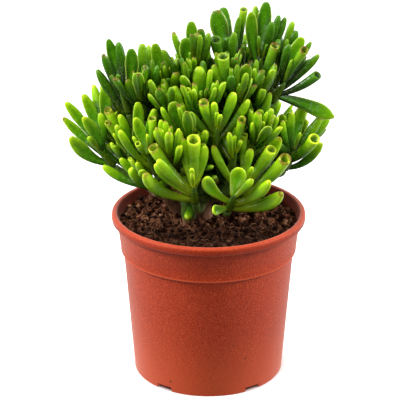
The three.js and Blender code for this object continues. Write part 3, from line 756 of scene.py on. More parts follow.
def makeFibres(ground):
    draw = makeDraw(soil["fibreSeed"])
    piece = startStrands("soil_fibres", 4, 3)
    short, long = soil["fibreLength"]
    reach = pot["rimThroat"] - 4
    spans = soil["fibrePoints"] - 1
    for _ in range(soil["fibres"]):
        x, y = placeWithin(reach, draw)
        way, length = draw() * 2 * math.pi, short + (long - short) * draw()
        bend, lift, thick = draw() - 0.5, draw(), draw()
        points = []
        for step in range(spans + 1):
            if math.hypot(x, y) > reach:
                break
            arch = math.sin(math.pi * step / spans) * soil["fibreArch"] * lift
            points.append((x * mm, y * mm, onGround(ground, x, y)[2] + (0.1 + arch) * mm))
            x += length / spans * math.cos(way)
            y += length / spans * math.sin(way)
            way += 1.6 * bend
        if len(points) > 2:
            wide = soil["fibreThickness"] * (0.6 + thick)
            drawStrand(piece.data, points, [wide * 0.6] + [wide] * (len(points) - 2) + [wide * 0.4])
    piece = toMesh(piece)
    markPoints(piece.data, "tone", soil["fibreTone"])
    smooth(piece)
    dress(piece, "peat_soil", crumbSkin)


ground = makeSoil()
makeCrumbs(ground)
makeFibres(ground)
print("soil made")


# how the plant grows

limbs = {
    "left": {"end": (-20, 6, 103.5), "radius": 4.4, "trunk": "trunk_left"},
    "leftTop": {"end": (-27, 3, 116), "from": "left", "radius": 4.0},
    "leftLow": {"end": (-42, 0, 126), "from": "leftTop", "radius": 3.2},
    "leftHigh": {"end": (-37, 6, 146), "from": "leftTop", "radius": 3.2},
    "leftMid": {"end": (-25, 0, 138), "from": "leftTop", "radius": 3.2},
    "leftBack": {"end": (-30, 24, 128), "from": "leftTop", "radius": 3.0},
    "centre": {"end": (-3, 3, 104), "radius": 5.2, "trunk": "trunk_centre"},
    "centreTop": {"end": (-1, 2, 112), "from": "centre", "radius": 4.6},
    "centreMid": {"end": (0, 8, 140), "from": "centreTop", "radius": 3.4},
    "centreHigh": {"end": (4, 18, 164), "from": "centreMid", "radius": 3.2},
    "centreBack": {"end": (0, 28, 132), "from": "centreTop", "radius": 3.0},
    "right": {"end": (17, -7, 122), "from": "centreTop", "radius": 3.8},
    "rightLow": {"end": (36, 0, 131), "from": "right", "radius": 3.2},
    "rightHigh": {"end": (27, 10, 150), "from": "right", "radius": 3.2},
    "rightBack": {"end": (30, 24, 136), "from": "right", "radius": 3.0},
}

manyLarge = 4  # a shoot with more large leaves than this has no room for most of the others
# A large leaf is its kind, length, width, share of the stem where it grows, the way it points as seen from
# the front (degrees clockwise from straight up), how far it comes forwards (degrees), and how far it is
# bowed if that isn't the usual amount.


def leafy(tip, turn, pairs, leaf, limb, lean=None, large=()):
    # where the green stem ends, which way its first pair of leaves points, how many pairs it has, and their
    # length and width
    return {
        "tip": tip, "turn": turn, "pairs": pairs, "leaf": leaf, "limb": limb, "lean": lean, "large": large,
        "hasRoom": len(large) <= manyLarge,
    }


shoots = [
    leafy((15, -40, 132), 35, 4, (28, 6.6), "right", large=[
        ("spoon", 18, 11.5, 0.8, 20, 0), ("spoon", 22, 9, 0.5, -50, 20, 0.25),
        ("finger", 33, 9, 0.2, 74, 15, 0.3), ("finger", 29, 7.5, 0.4, 58, 25, 0.25),
        ("finger", 16, 5, 0.8, 45, 15), ("spoon", 11, 7.5, 0.25, -100, 30, 0.2),
    ]),
    leafy((22, -29, 135), 10, 4, (28, 6.2), "right", large=[
        ("spoon", 38, 10, 0.7, 30, -5), ("cup", 36, 9.5, 0.3, 50, 15, 0.2), ("cup", 30, 8, 0.6, 35, 5),
        ("cup", 30, 5.5, 0.9, -6, -5), ("cup", 24, 6.5, 0.7, -22, 10), ("finger", 34, 6, 0.5, -31, 20),
        ("finger", 23, 5.5, 0.8, 11, 5),
    ]),
    leafy((-9, -38, 137), 75, 4, (30, 6.6), "centreTop", large=[
        ("cup", 31, 9, 0.7, -1, 15), ("finger", 35, 8, 0.2, -62, 20, 0.3), ("cup", 38, 7.5, 0.6, -42, 0),
        ("finger", 30, 6, 0.4, -50, 10, 0.2), ("finger", 31, 6.5, 0.5, -40, 20),
        ("cup", 34, 6.5, 0.8, -22, 0), ("finger", 31, 5, 0.9, -12, -5), ("finger", 26, 6.5, 0.8, 14, 5),
    ]),
    leafy((-10, -12, 120), 0, 0, (20, 6), "centreTop", lean=(-0.5, -0.75, 0.45), large=[
        ("finger", 17, 6, 0.7, -178, 20, 0.2), ("cup", 10, 7, 0.9, -30, 55),
    ]),
    leafy((-37, -24, 152), 20, 4, (28, 6.2), "leftMid", large=[
        ("spoon", 25, 8, 0.8, -19, 5), ("spoon", 23, 8, 0.6, 25, 5),
        ("finger", 31, 5.5, 0.3, -41, 20, 0.2), ("cup", 22, 5.5, 0.9, 6, 0), ("cup", 12, 4, 0.9, -35, 40),
    ]),
    leafy((-37, -15, 134), 75, 3, (26, 6), "leftLow", large=[
        ("finger", 29, 6.5, 0.5, -43, 5), ("finger", 34, 6, 0.2, -60, -5, 0.15),
        ("finger", 21, 7.5, 0.2, -41, 30, 0.15),
    ]),
    leafy((-49, -8, 147), 50, 4, (28, 6), "leftLow", large=[
        ("spoon", 33, 8, 0.9, 9, 20), ("cup", 34, 6, 0.6, -27, 5), ("cup", 31, 4.5, 0.4, -33, 15),
        ("finger", 35, 6, 0.8, -4, 5), ("finger", 34, 6.5, 0.7, 25, 20), ("finger", 30, 6, 0.4, -33, 30),
    ]),
    leafy((-68, 0, 146), 0, 4, (32, 6.6), "leftLow", lean=(-0.65, -0.05, 0.75), large=[
        ("spoon", 39, 7, 0.7, -36, 0), ("spoon", 36, 6.5, 0.5, -47, 0), ("spoon", 37, 7.5, 0.8, -18, 0),
        ("spoon", 39, 8.5, 0.9, 3, 0), ("finger", 40, 6.5, 1, -5, -10),
        ("spoon", 30, 9.5, 0.2, -56, 15, 0.2), ("spoon", 28, 8, 0.6, -30, 20),
        ("finger", 24, 5.5, 0.8, -2, 15),
    ]),
    leafy((-53, 0, 184), 30, 4, (30, 6.6), "leftHigh", lean=(-0.3, 0, 0.95), large=[
        ("spoon", 36, 8, 0.7, -15, 0), ("spoon", 31, 9, 0.6, 7, 15), ("finger", 30, 6, 0.9, -5, 0),
        ("finger", 33, 6, 0.4, -24, 10), ("finger", 31, 6.5, 0.1, -36, 5),
    ]),
    leafy((-41, -2, 181), 80, 4, (30, 6.8), "leftHigh", lean=(-0.15, -0.04, 0.98), large=[
        ("finger", 34, 7.5, 0.8, 0, 0), ("finger", 29, 6, 0.5, 10, 0), ("finger", 25, 7, 0.6, 2, 20),
        ("finger", 24, 6, 0.4, -14, 30),
    ]),
    leafy((-8, 10, 196), 50, 4, (29, 6.8), "centreHigh", large=[
        ("spoon", 30, 8.5, 0.8, -5, 0), ("spoon", 28, 8, 0.7, 6, -10), ("spoon", 27, 9.5, 0.4, -12, 15),
        ("finger", 31, 5, 0.5, -25, 0),
    ]),
    leafy((18, 15, 200), 15, 5, (30, 6.8), "centreHigh", large=[
        ("spoon", 36, 12, 0.7, -19, 0), ("spoon", 37, 9, 0.8, -13, -15), ("cup", 31, 5.5, 0.9, 7, 0),
        ("finger", 30, 4.5, 0.7, 4, 10), ("finger", 29, 6.5, 0.3, 1, 20), ("cup", 29, 7.5, 0.2, -23, 20),
        ("finger", 25, 5.5, 0.4, -10, 5),
    ]),
    leafy((32, 14, 200), 65, 5, (30, 6.8), "rightHigh", lean=(0.15, 0.0, 0.98), large=[
        ("spoon", 38, 9.5, 0.8, 6, -5), ("finger", 36, 7, 0.8, -4, -10), ("spoon", 35, 9, 0.6, -7, 10),
        ("finger", 28, 6, 0.7, 14, 15), ("finger", 37, 5, 0.5, 25, 0), ("finger", 33, 5, 0.7, 20, 0),
    ]),
    leafy((46, 2, 188), 45, 4, (28, 6.0), "rightHigh", lean=(0.5, -0.1, 0.85), large=[
        ("blade", 37, 10, 0.35, 111, 5, -0.06), ("spoon", 32, 9, 0.8, 23, 0),
        ("finger", 34, 5, 0.8, 33, -15), ("finger", 24, 6, 0.9, 9, 10), ("cup", 28, 6, 0.7, 32, 20),
        ("finger", 32, 5, 0.6, 47, 0), ("cup", 27, 6.5, 0.4, 63, 10),
    ]),
    leafy((18, -8, 180), 40, 4, (29, 6.6), "centreMid", large=[
        ("spoon", 27, 9.5, 0.7, 13, 15), ("cup", 32, 8, 0.8, -16, 0), ("finger", 30, 6.5, 0.6, -26, 5),
        ("finger", 18, 6, 0.9, -13, 25),
    ]),
    leafy((-3, -12, 177), 15, 4, (28, 6.4), "centreMid", large=[
        ("finger", 30, 9, 0.6, -5, 10), ("finger", 30, 6, 0.9, -1, -10), ("finger", 24, 6, 0.7, 13, 0),
    ]),
    leafy((-11, -20, 164), 20, 4, (29, 6.4), "leftMid", large=[
        ("spoon", 27, 9.5, 0.6, -24, 20), ("finger", 37, 8, 0.4, -22, 0), ("cup", 28, 5, 0.8, -4, 5),
    ]),
    leafy((5, -22, 168), 60, 4, (27, 6.2), "centreMid", large=[
        ("cup", 22, 7, 0.7, -21, 10), ("finger", 18, 5.5, 0.8, -4, 20), ("finger", 28, 6.5, 0.7, 22, 0),
        ("finger", 31, 6, 0.4, 32, 5), ("finger", 29, 6, 0.5, -33, 0),
    ]),
    leafy((16, -23, 153), 80, 4, (26, 6.2), "right", large=[
        ("finger", 27, 7, 0.7, -11, 0), ("finger", 29, 6, 0.5, -26, 0), ("finger", 30, 8, 0.6, 25, 0),
        ("finger", 26, 4.5, 0.9, 8, 0), ("cup", 23, 6, 0.8, 12, 20),
    ]),
    leafy((53, -10, 149), 70, 4, (27, 6.0), "rightLow", lean=(0.45, -0.15, 0.87), large=[
        ("spoon", 28, 7.5, 0.9, 11, 0), ("cup", 23, 8, 0.5, 46, 35), ("finger", 25, 6, 0.8, -1, 5),
        ("finger", 22, 4.5, 0.7, -15, 10), ("finger", 29, 6.5, 0.7, 36, 0),
        ("finger", 37, 6.5, 0.5, 42, -15), ("finger", 27, 6, 0.1, 54, 15, 0.25),
        ("finger", 14, 5, 0.8, -60, 30),
    ]),
    leafy((30, -15, 160), 80, 4, (26, 6.2), "right", large=[
        ("spoon", 21, 8, 0.6, 10, 10), ("finger", 31, 6, 0.7, 16, 0), ("finger", 25, 6, 0.7, -9, 0),
    ]),
    leafy((30, 0, 180), 25, 4, (29, 6.8), "rightHigh", large=[("cup", 35, 7.5, 0.8, 12, 5)]),
    leafy((-25, -5, 175), 20, 4, (28, 6.6), "leftMid", large=[("finger", 26, 6.5, 0.4, -10, 15)]),
    leafy((-25, 15, 180), 25, 3, (28, 6.4), "leftHigh", large=[("spoon", 33, 9, 0.6, -15, 5)]),
    leafy((-25, -25, 155), 50, 4, (27, 6.2), "leftMid"),
    leafy((-5, -15, 155), 15, 4, (26, 6.2), "centreMid"),
    leafy((-10, 0, 185), 60, 5, (28, 6.2), "centreHigh"),
    leafy((10, 5, 190), 10, 5, (28, 6.2), "centreHigh"),
    leafy((45, 10, 150), 25, 4, (22, 6.0), "rightLow"),
    leafy((45, 15, 195), 5, 4, (28, 6.4), "rightHigh", large=[
        ("finger", 27, 6, 0.7, 22, 0), ("finger", 30, 5.5, 0.8, 9, 0),
    ]),
    leafy((-55, 15, 165), 55, 4, (29, 6.2), "leftLow"),
    leafy((-40, 35, 150), 10, 4, (30, 6.4), "leftBack"),
    leafy((-20, 50, 150), 60, 4, (30, 6.4), "leftBack"),
    leafy((10, 50, 150), 20, 4, (30, 6.4), "centreBack"),
    leafy((35, 40, 145), 70, 4, (30, 6.4), "rightBack"),
    leafy((55, 20, 145), 35, 4, (28, 6.2), "rightLow"),
    leafy((-40, 25, 180), 65, 4, (30, 6.4), "leftHigh"),
    leafy((-10, 40, 180), 25, 5, (30, 6.4), "centreBack"),
    leafy((20, 40, 185), 75, 5, (30, 6.4), "rightBack"),
    leafy((30, 30, 165), 15, 4, (28, 6.4), "rightBack"),
]

# Low shoots that fill the plant's middle behind the others. Only the fine plant has them.
lowShoots = [
    leafy((-19, 16, 135), 20, 4, (25, 6.2), "leftBack"),
    leafy((5, 18, 130), 60, 4, (25, 6.2), "centreBack"),
    leafy((20, 15, 136), 40, 4, (25, 6.2), "rightBack"),
    leafy((-33, 14, 136), 75, 3, (23, 6.0), "leftBack"),
    leafy((6, 32, 126), 10, 3, (23, 6.2), "centreBack"),
    leafy((-8, 8, 132), 50, 3, (24, 6.0), "centreTop"),
    leafy((14, -2, 140), 5, 3, (24, 6.0), "right"),
    leafy((-20, 34, 128), 35, 3, (23, 6.2), "leftBack"),
    leafy((34, 18, 130), 80, 3, (22, 6.0), "rightBack"),
    leafy((-57, 9, 148), 30, 4, (27, 6.2), "leftLow", lean=(-0.45, 0.1, 0.9)),
    leafy((-49, 4, 139), 70, 3, (24, 6.0), "leftLow", lean=(-0.35, 0, 0.93)),
]
framedShoots = len(shoots)

stem = {"radius": 2.7, "step": 3.8, "spare": 0.5, "topPair": 1.5, "shortest": 6}
twig = {"start": 2.2, "end": 2.5}
fanCentre = np.array((-4.0, 0.0, 62.0))
spread = {"young": 15, "old": 36, "spare": 14, "wander": 16}
growth = {
    "clearance": 0.5,
    "mingle": 0.7,
    "mingleLarge": 2.0,
    "leavesEach": 5,
    "seed": 20,
    "freeRootShoot": 0.42,
    "freeRootTwig": 0.25,
    "freeRootOnTwig": 0.4,
    "ballsPerLeaf": 11,
    "mostBalls": 60000,
    "widest": 14,  # no two balls this far apart can touch, millimetres
    "spoons": 0.14,
    "cups": 0.36,
    "rootInset": 0.3,
    "viewHeight": 22.5,
    "usualBow": 0.1,
}
# the leaves that only the fine plant has
infill = {
    "clearance": 0.15,
    "mingle": 1.5,
    "leavesEach": math.inf,
    "seed": 41,
    "slimming": 0.86,
    "buds": 4,
    "budLength": (9.0, 16.0),
    "budWidth": 4.0,
    "budMingle": 2.6,
    "twigLeaves": 7,
    "twigLeafLength": (13.0, 25.0),
    "twigLeafWidth": 5.2,
    "goldenTurn": 137.5,  # degrees from one leaf along a twig to the next
    # the lowest that these leaves show, as across and rise in the front view, millimetres
    "skirt": [(-95, 155), (-67, 128), (-40, 112), (-20, 108), (25, 108), (44, 119), (66, 136), (80, 152)],
    # where the front view shows through the plant: across, rise and radius
    "openings": [(43, 164, 7), (50, 171, 5), (-36, 193, 8), (66, 179, 6), (71, 143, 5), (-27, 203, 8)],
}
# what a leaf tries one after another until it fits: turned, tilted by degrees, and its share of the length
otherPlaces = [
    (0, 0, 1), (12, 0, 1), (-12, 0, 1), (0, -8, 1), (0, 8, 0.95), (22, -4, 0.92), (-22, -4, 0.92),
    (0, -15, 0.9), (14, 10, 0.85), (-14, 10, 0.85), (34, 0, 0.85), (-34, 0, 0.85), (0, -20, 0.78),
    (24, 10, 0.75), (-24, 10, 0.75), (0, 0, 0.66), (16, -12, 0.62), (-16, -12, 0.62),
]
# how thick each kind is to its width, and its half width along its length
leafKinds = {
    "spoon": (0.38, [(0, 0.4), (0.15, 0.44), (0.45, 0.7), (0.75, 1), (0.92, 0.8), (1, 0.45)]),
    "cup": (0.86, [(0, 0.44), (0.15, 0.52), (0.5, 0.74), (0.82, 0.92), (1, 1)]),
    "finger": (0.82, [(0, 0.46), (0.15, 0.58), (0.5, 0.86), (0.78, 1), (0.93, 0.82), (1, 0.45)]),
    "blade": (0.34, [(0, 0.35), (0.15, 0.45), (0.45, 0.8), (0.75, 1), (0.92, 0.6), (1, 0.12)]),
    # a cup that has hardly opened, which the pairs have in the place of a cup
    "dimple": (0.86, [(0, 0.44), (0.15, 0.52), (0.5, 0.76), (0.8, 0.96), (0.93, 0.92), (1, 0.66)]),
}


def unit(way):
    way = np.asarray(way, dtype=float)
    return way / np.linalg.norm(way)


def crossDirections(axis):
    across = unit(np.cross((1, 0, 0) if abs(axis[2]) > 0.999 else up, axis))
    return across, np.cross(axis, across)


def limbEnd(name):
    return np.array(limbs[name]["end"], dtype=float)


def trunkOf(name):
    limb = limbs[name]
    return limb.get("trunk") or trunkOf(limb["from"])


def curveAt(curve, at):
    at = np.asarray(at, dtype=float)[..., None]
    start, middle, end = curve
    return start * (1 - at) ** 2 + middle * 2 * at * (1 - at) + end * at**2


def curveWay(curve, at):
    at = np.asarray(at, dtype=float)[..., None]
    start, middle, end = curve
    way = (middle - start) * (1 - at) + (end - middle) * at
    return way / np.linalg.norm(way, axis=-1, keepdims=True)


def limbCurve(name):
    start, end = limbEnd(limbs[name]["from"]), limbEnd(name)
    middle = start + (end - start) * np.array((0.3, 0.3, 0.5))
    return start, middle, end


def twigCurve(shoot):
    start = limbEnd(shoot["limb"])
    end = shoot["foot"] - shoot["axis"] * soil["gap"]
    middle = end - shoot["axis"] * (0.45 * np.linalg.norm(start - end))
    return start, middle, end


def setOut(shoot):
    shoot["end"] = np.array(shoot["tip"], dtype=float)
    shoot["axis"] = unit(shoot["lean"] or shoot["end"] - fanCentre)
    shoot["across"], shoot["over"] = crossDirections(shoot["axis"])
    pairs = shoot["pairs"]
    shoot["length"] = stem["step"] * pairs + stem["spare"] if pairs else stem["shortest"]
    shoot["foot"] = shoot["end"] - shoot["axis"] * shoot["length"]
    shoot["leaves"] = []


def outlineShare(kind, at):
    return np.interp(at, *zip(*leafKinds[kind][1]))


def leafFrame(leaf, at):
    along = curveWay(leaf["curve"], at)
    side = leaf["side"]
    across = side - along * (along @ side)[..., None]
    across = across / np.linalg.norm(across, axis=-1, keepdims=True)
    return along, across, np.cross(along, across)


def fillsOnly(centres, radii):
    # whether a leaf stays within the plant's outline in the front view
    height = math.radians(growth["viewHeight"])
    rise = centres[:, 2] * math.cos(height) + centres[:, 1] * math.sin(height)
    across = centres[:, 0]
    if np.any(rise - radii < np.interp(across, *zip(*infill["skirt"]))):
        return False
    return all(np.hypot(across - x, rise - z).min() > size + 1 for x, z, size in infill["openings"])


class Room:
    # the balls that fill what has grown already

    def __init__(self):
        self.centres = np.zeros((growth["mostBalls"], 3))
        self.facts = np.zeros((growth["mostBalls"], 4))  # radius, shoot, twig's shoot, at the twig's end
        self.count = 0
        self.rules = growth

    def add(self, centres, radii, shoot=-1, twigOf=-1):
        count = len(centres)
        rows = slice(self.count, self.count + count)
        self.centres[rows] = centres
        for column, fact in enumerate((radii, shoot, twigOf, np.arange(count) > count - 3)):
            self.facts[rows, column] = fact
        self.count += count

    def isClearOfPot(self, centres, radii):
        out = np.hypot(centres[:, 0], centres[:, 1])
        low = centres[:, 2] - radii
        soilTop = soil["edge"] + soil["mound"] + 2 * soil["bump"]
        if np.any((low < soilTop) & (out < pot["rimThroat"] + 2)):
            return False
        inside, outside = out < pot["rimThroat"] - radii - 1, out > pot["rimRadius"] + radii + 1
        return np.all((low > pot["height"] + 1) | inside | outside)

    def isFree(self, balls, number, mingle, onTwig):
        centres, radii, shares = balls
        if self.rules is infill and not fillsOnly(centres, radii):
            return False
        if not self.isClearOfPot(centres, radii):
            return False
        middle = centres.mean(axis=0)
        reach = np.linalg.norm(centres - middle, axis=1).max() + growth["widest"]
        near = np.linalg.norm(self.centres[: self.count] - middle, axis=1) < reach
        others = self.centres[: self.count][near]
        radius, shoot, twigOf, last = self.facts[: self.count][near].T
        own = shoot == number
        gap = np.where(own, -mingle, self.rules["clearance"])
        apart = np.linalg.norm(centres[:, None] - others[None], axis=2)
        hit = apart < radii[:, None] + (radius + gap)[None]
        hit &= ~(own[None] & (shares < growth["freeRootShoot"])[:, None])
        ownTwig = (twigOf == number) & (onTwig | (last > 0))
        freeShare = growth["freeRootOnTwig"] if onTwig else growth["freeRootTwig"]
        hit &= ~(ownTwig[None] & (shares < freeShare)[:, None])
        return not hit.any()


def leafBalls(leaf):
    count = growth["ballsPerLeaf"]
    shares = (np.arange(count) + 0.5) / count
    centres = curveAt(leaf["curve"], shares)
    half = outlineShare(leaf["kind"], shares) * leaf["width"] / 2
    thick = half * leafKinds[leaf["kind"]][0]
    _, across, _ = leafFrame(leaf, shares)
    wide = half - thick > 0.8
    beside = across[wide] * (half - thick)[wide, None]
    return (
        np.concatenate([centres, centres[wide] + beside, centres[wide] - beside]),
        np.concatenate([np.maximum(thick, np.minimum(half, thick * 1.15)), thick[wide], thick[wide]]),
        np.concatenate([shares, shares[wide], shares[wide]]),
    )


def seenWay(clock, near):
    # the direction that points this way as seen from the front and above
    clock, near, height = math.radians(clock), math.radians(near), math.radians(growth["viewHeight"])
    across, rise, back = math.sin(clock) * math.cos(near), math.cos(clock) * math.cos(near), -math.sin(near)
    return np.array((
        across,
        back * math.cos(height) + rise * math.sin(height),
        rise * math.cos(height) - back * math.sin(height),
    ))


def largeLeaf(number, entry, other):
    kind, whole, width, at, clock, near, *bowed = entry
    turn, tilt, shorter = other
    bow = bowed[0] if bowed else growth["usualBow"]
    shoot = shoots[number]
    axis, length = shoot["axis"], whole * shorter
    way = seenWay(clock + turn / 2, near + tilt)
    outward = unit(way - axis * (way @ axis))
    root = shoot["foot"] + axis * (shoot["length"] * at) + outward * (stem["radius"] * growth["rootInset"])
    end = root + way * length
    middle = (root + end) / 2 + (outward - axis * np.sign(way @ axis)) * (bow * length)
    side = unit(np.cross(seenWay(0, 90), way))
    return {"curve": (root, middle, end), "width": width, "kind": kind, "side": side, "rank": 1.0}


def drawLeaf(shoot, level, side, draw):
    turn, tilt, long, wide, which = draw(), draw(), draw(), draw(), draw()
    rank = level / (shoot["pairs"] - 1)
    length, width = shoot["leaf"]
    spoons, cups = growth["spoons"], growth["cups"]
    kind = "spoon" if which < spoons else "cup" if which < spoons + cups else "finger"
    return {
        "kind": kind,
        "azimuth": shoot["turn"] + 90 * level + 180 * side + spread["wander"] * (turn - 0.5),
        "tilt": spread["young"] + spread["old"] * rank + spread["spare"] * (tilt - 0.5),
        "length": length * (0.7 + 0.36 * rank**0.7 + 0.22 * (long - 0.5)),
        "width": width * (0.82 + 0.2 * rank + 0.25 * (wide - 0.5)) * (1.45 if kind == "spoon" else 1),
        "height": shoot["length"] - stem["topPair"] - stem["step"] * level,
        "lift": 0.45 + 0.25 * rank,
        "rank": rank,
    }


def sprout(base, directions, radius, drawn, other, axisLift=0.0, slimming=1.0):
    # a leaf that starts from a stem's side and bends upwards
    axis, across, over = directions
    turn, tilt, shorter = other
    azimuth, lean = math.radians(drawn["azimuth"] + turn), math.radians(drawn["tilt"] + tilt)
    outward = across * math.cos(azimuth) + over * math.sin(azimuth)
    startWay = axis * math.cos(lean) + outward * math.sin(lean)
    endWay = unit(startWay + axis * axisLift + up * drawn["lift"])
    length = drawn["length"] * shorter
    root = base + outward * (radius * growth["rootInset"])
    middle = root + startWay * (length / 2)
    curve = (root, middle, middle + endWay * (length / 2))
    return {**drawn, "curve": curve, "width": drawn["width"] * slimming, "side": np.cross(axis, outward)}


def leafAt(number, drawn, other):
    shoot = shoots[number]
    base = shoot["foot"] + shoot["axis"] * drawn["height"]
    directions = shoot["axis"], shoot["across"], shoot["over"]
    slimming = infill["slimming"] * other[2] ** 0.5 if room.rules is infill else 1
    return sprout(base, directions, stem["radius"], drawn, other, drawn["lift"], slimming)


def twigLeafAt(number, drawn, other):
    curve = twigCurve(shoots[number])
    axis = curveWay(curve, drawn["at"])
    return sprout(curveAt(curve, drawn["at"]), (axis, *crossDirections(axis)), twig["end"], drawn, other)


room = Room()


def addWoodTo(room):
    for number, shoot in enumerate(shoots):
        room.add(np.linspace(shoot["foot"], shoot["end"], 6), stem["radius"], shoot=number)
        room.add(curveAt(twigCurve(shoot), np.linspace(0, 1, 13)), twig["end"], twigOf=number)
    for name, limb in limbs.items():
        if "from" in limb:
            room.add(curveAt(limbCurve(name), np.linspace(0, 1, 9)), limb["radius"])


def tryPlaces(makeOne, number, drawn, mingle):
    # the leaf grows in the first of its places where it is free, or not at all
    for other in otherPlaces:
        leaf = makeOne(number, drawn, other)
        balls = leafBalls(leaf)
        if room.isFree(balls, number, mingle, "at" in leaf):
            shoots[number]["leaves"].append(leaf)
            room.add(balls[0], balls[1], shoot=number)
            return


def growPairs(levels, draw):
    for level in levels:
        for number, shoot in enumerate(shoots):
            if level >= shoot["pairs"] or (room.rules is infill and not shoot["hasRoom"]):
                continue
            for side in (0, 1):
                drawn = drawLeaf(shoot, level, side, draw)
                if len(shoot["leaves"]) < room.rules["leavesEach"]:
                    tryPlaces(leafAt, number, drawn, room.rules["mingle"])


def growBuds(draw):
    # the smallest leaves, in the middle of each rosette
    short, long = infill["budLength"]
    for number, shoot in enumerate(shoots):
        for count in range(infill["buds"] if shoot["pairs"] else 0):
            turn, tilt, size = draw(), draw(), draw()
            if count % 2 and not shoot["hasRoom"]:
                continue
            drawn = {
                "kind": "finger",
                "azimuth": shoot["turn"] + 360 * count / infill["buds"] + 40 * turn,
                "tilt": 6 + 14 * tilt,
                "length": short + (long - short) * size,
                "width": infill["budWidth"],
                "height": shoot["length"] - 0.8,
                "lift": 0.2,
                "rank": -0.3,
            }
            tryPlaces(leafAt, number, drawn, infill["budMingle"])


def growAlongTwigs(draw):
    short, long = infill["twigLeafLength"]
    for count in range(infill["twigLeaves"]):
        for number, shoot in enumerate(shoots):
            turn, tilt, size, which = draw(), draw(), draw(), draw()
            if not shoot["hasRoom"]:
                continue
            drawn = {
                "kind": "finger" if which < 0.8 else "spoon",
                "azimuth": infill["goldenTurn"] * count + 60 * turn,
                "tilt": 38 + 24 * tilt,
                "length": short + (long - short) * size,
                "width": infill["twigLeafWidth"],
                "at": 0.96 - 0.8 * count / infill["twigLeaves"],
                "lift": 0.6,
                "rank": 1.0,
            }
            tryPlaces(twigLeafAt, number, drawn, infill["mingle"])


def countLeaves():
    return sum(len(shoot["leaves"]) for shoot in shoots)


def growPlant():
    for shoot in (*shoots, *lowShoots):
        setOut(shoot)
    addWoodTo(room)
    for number, shoot in enumerate(shoots):
        for entry in shoot["large"]:
            tryPlaces(largeLeaf, number, entry, growth["mingleLarge"])
    mostPairs = max(shoot["pairs"] for shoot in shoots)
    levels = range(1, mostPairs)
    growPairs(levels, makeDraw(growth["seed"]))
    print("leaves of the frame:", countLeaves())
    # the youngest leaves of each shoot, those between its pairs and those along its twig
    room.rules = infill
    shoots.extend(lowShoots)
    draw = makeDraw(infill["seed"])
    growBuds(draw)
    growPairs([0, *levels, *(level + 0.5 for level in range(mostPairs))], draw)
    growAlongTwigs(draw)
    print("all leaves:", countLeaves())


growPlant()


# leaves

leafModel = {
    "sides": 8,
    "rings": {
        "spoon": (0.0, 0.12, 0.28, 0.45, 0.6, 0.74, 0.86, 0.95),
        "cup": (0.0, 0.12, 0.3, 0.5, 0.68, 0.84, 0.95),
        "dimple": (0.0, 0.12, 0.3, 0.5, 0.68, 0.84, 0.95),
        "finger": (0.0, 0.12, 0.3, 0.5, 0.66, 0.8, 0.9, 0.97),
        "blade": (0.0, 0.12, 0.28, 0.45, 0.6, 0.75, 0.88, 0.96),
    },
    "tip": {"spoon": 0.5, "finger": 0.5, "blade": 0.3},  # its last ring to the one before
    "hollow": {"spoon": 0.95, "cup": 0.0, "dimple": 0.1, "finger": 0.25, "blade": 0.5},
    "rounding": 1.07,  # the finished surface lies this much inside its net
    "rim": 0.66,  # a cup's throat to its rim
    "throat": 0.86,  # halfway down a cup, to its throat
    "bottom": 0.3,
    "depth": 0.15,
    "dimple": 0.3,  # its mouth, to the leaf's half width
    "dimpleDepth": 0.05,
    "rimTilt": 0.6,
    "pointing": 0.3,
    "flare": 0.2,
    "wave": 0.05,
    "roundEdge": 0.25,  # the edge mark of a leaf that isn't flat
    "tiny": 1e-6,
    # the green stem's rings: height and radius
    "stemRings": [(0.1, 1.0), (0.3, 0.9), (0.5, 0.86), (0.7, 0.7), (0.85, 0.55), (0.94, 0.4), (0.98, 0.2)],
    # the stem's low tone paints it in shade
    "stemMarks": {"edge": 0.25, "tone": 0.05, "young": 0.1, "blush": 0.0},
    "seed": 63,
}


def pullRing(rise, fromReach, toReach, height):
    bpy.ops.mesh.extrude_region_move(TRANSFORM_OT_translate={"value": (0, 0, rise)})
    grow = toReach / fromReach
    bpy.ops.transform.resize(value=(grow, grow, 1), center_override=(0, 0, height))


def startNet(reach):
    deselectAll()
    bpy.ops.mesh.primitive_circle_add(vertices=leafModel["sides"], radius=reach, fill_type="NGON")
    piece = bpy.context.active_object
    openMesh(piece, "FACE")
    return piece


def endLeaf(kind, last, reach):
    # from the last ring of its side to the tip, or into its cup or its dimple
    look = leafModel
    rim, depth, mouth = look["rim"], look["depth"], look["dimple"]
    wide = float(outlineShare(kind, 1))
    if kind == "cup":
        throat = rim * look["throat"]
        pullRing(1.0 - last, reach, 1.0, 1.0)
        pullRing(0.0, 1.0, rim, 1.0)
        pullRing(-0.5 * depth, rim, throat, 1 - 0.5 * depth)
        pullRing(-0.5 * depth, throat, look["bottom"], 1 - depth)
    elif kind == "dimple":
        pullRing(1.0 - last, reach, wide, 1.0)
        pullRing(0.0, wide, mouth, 1.0)
        pullRing(-look["dimpleDepth"], mouth, mouth * 0.6, 1 - look["dimpleDepth"])
    else:
        pullRing(1.0 - last, reach, reach * look["tip"][kind], 1.0)


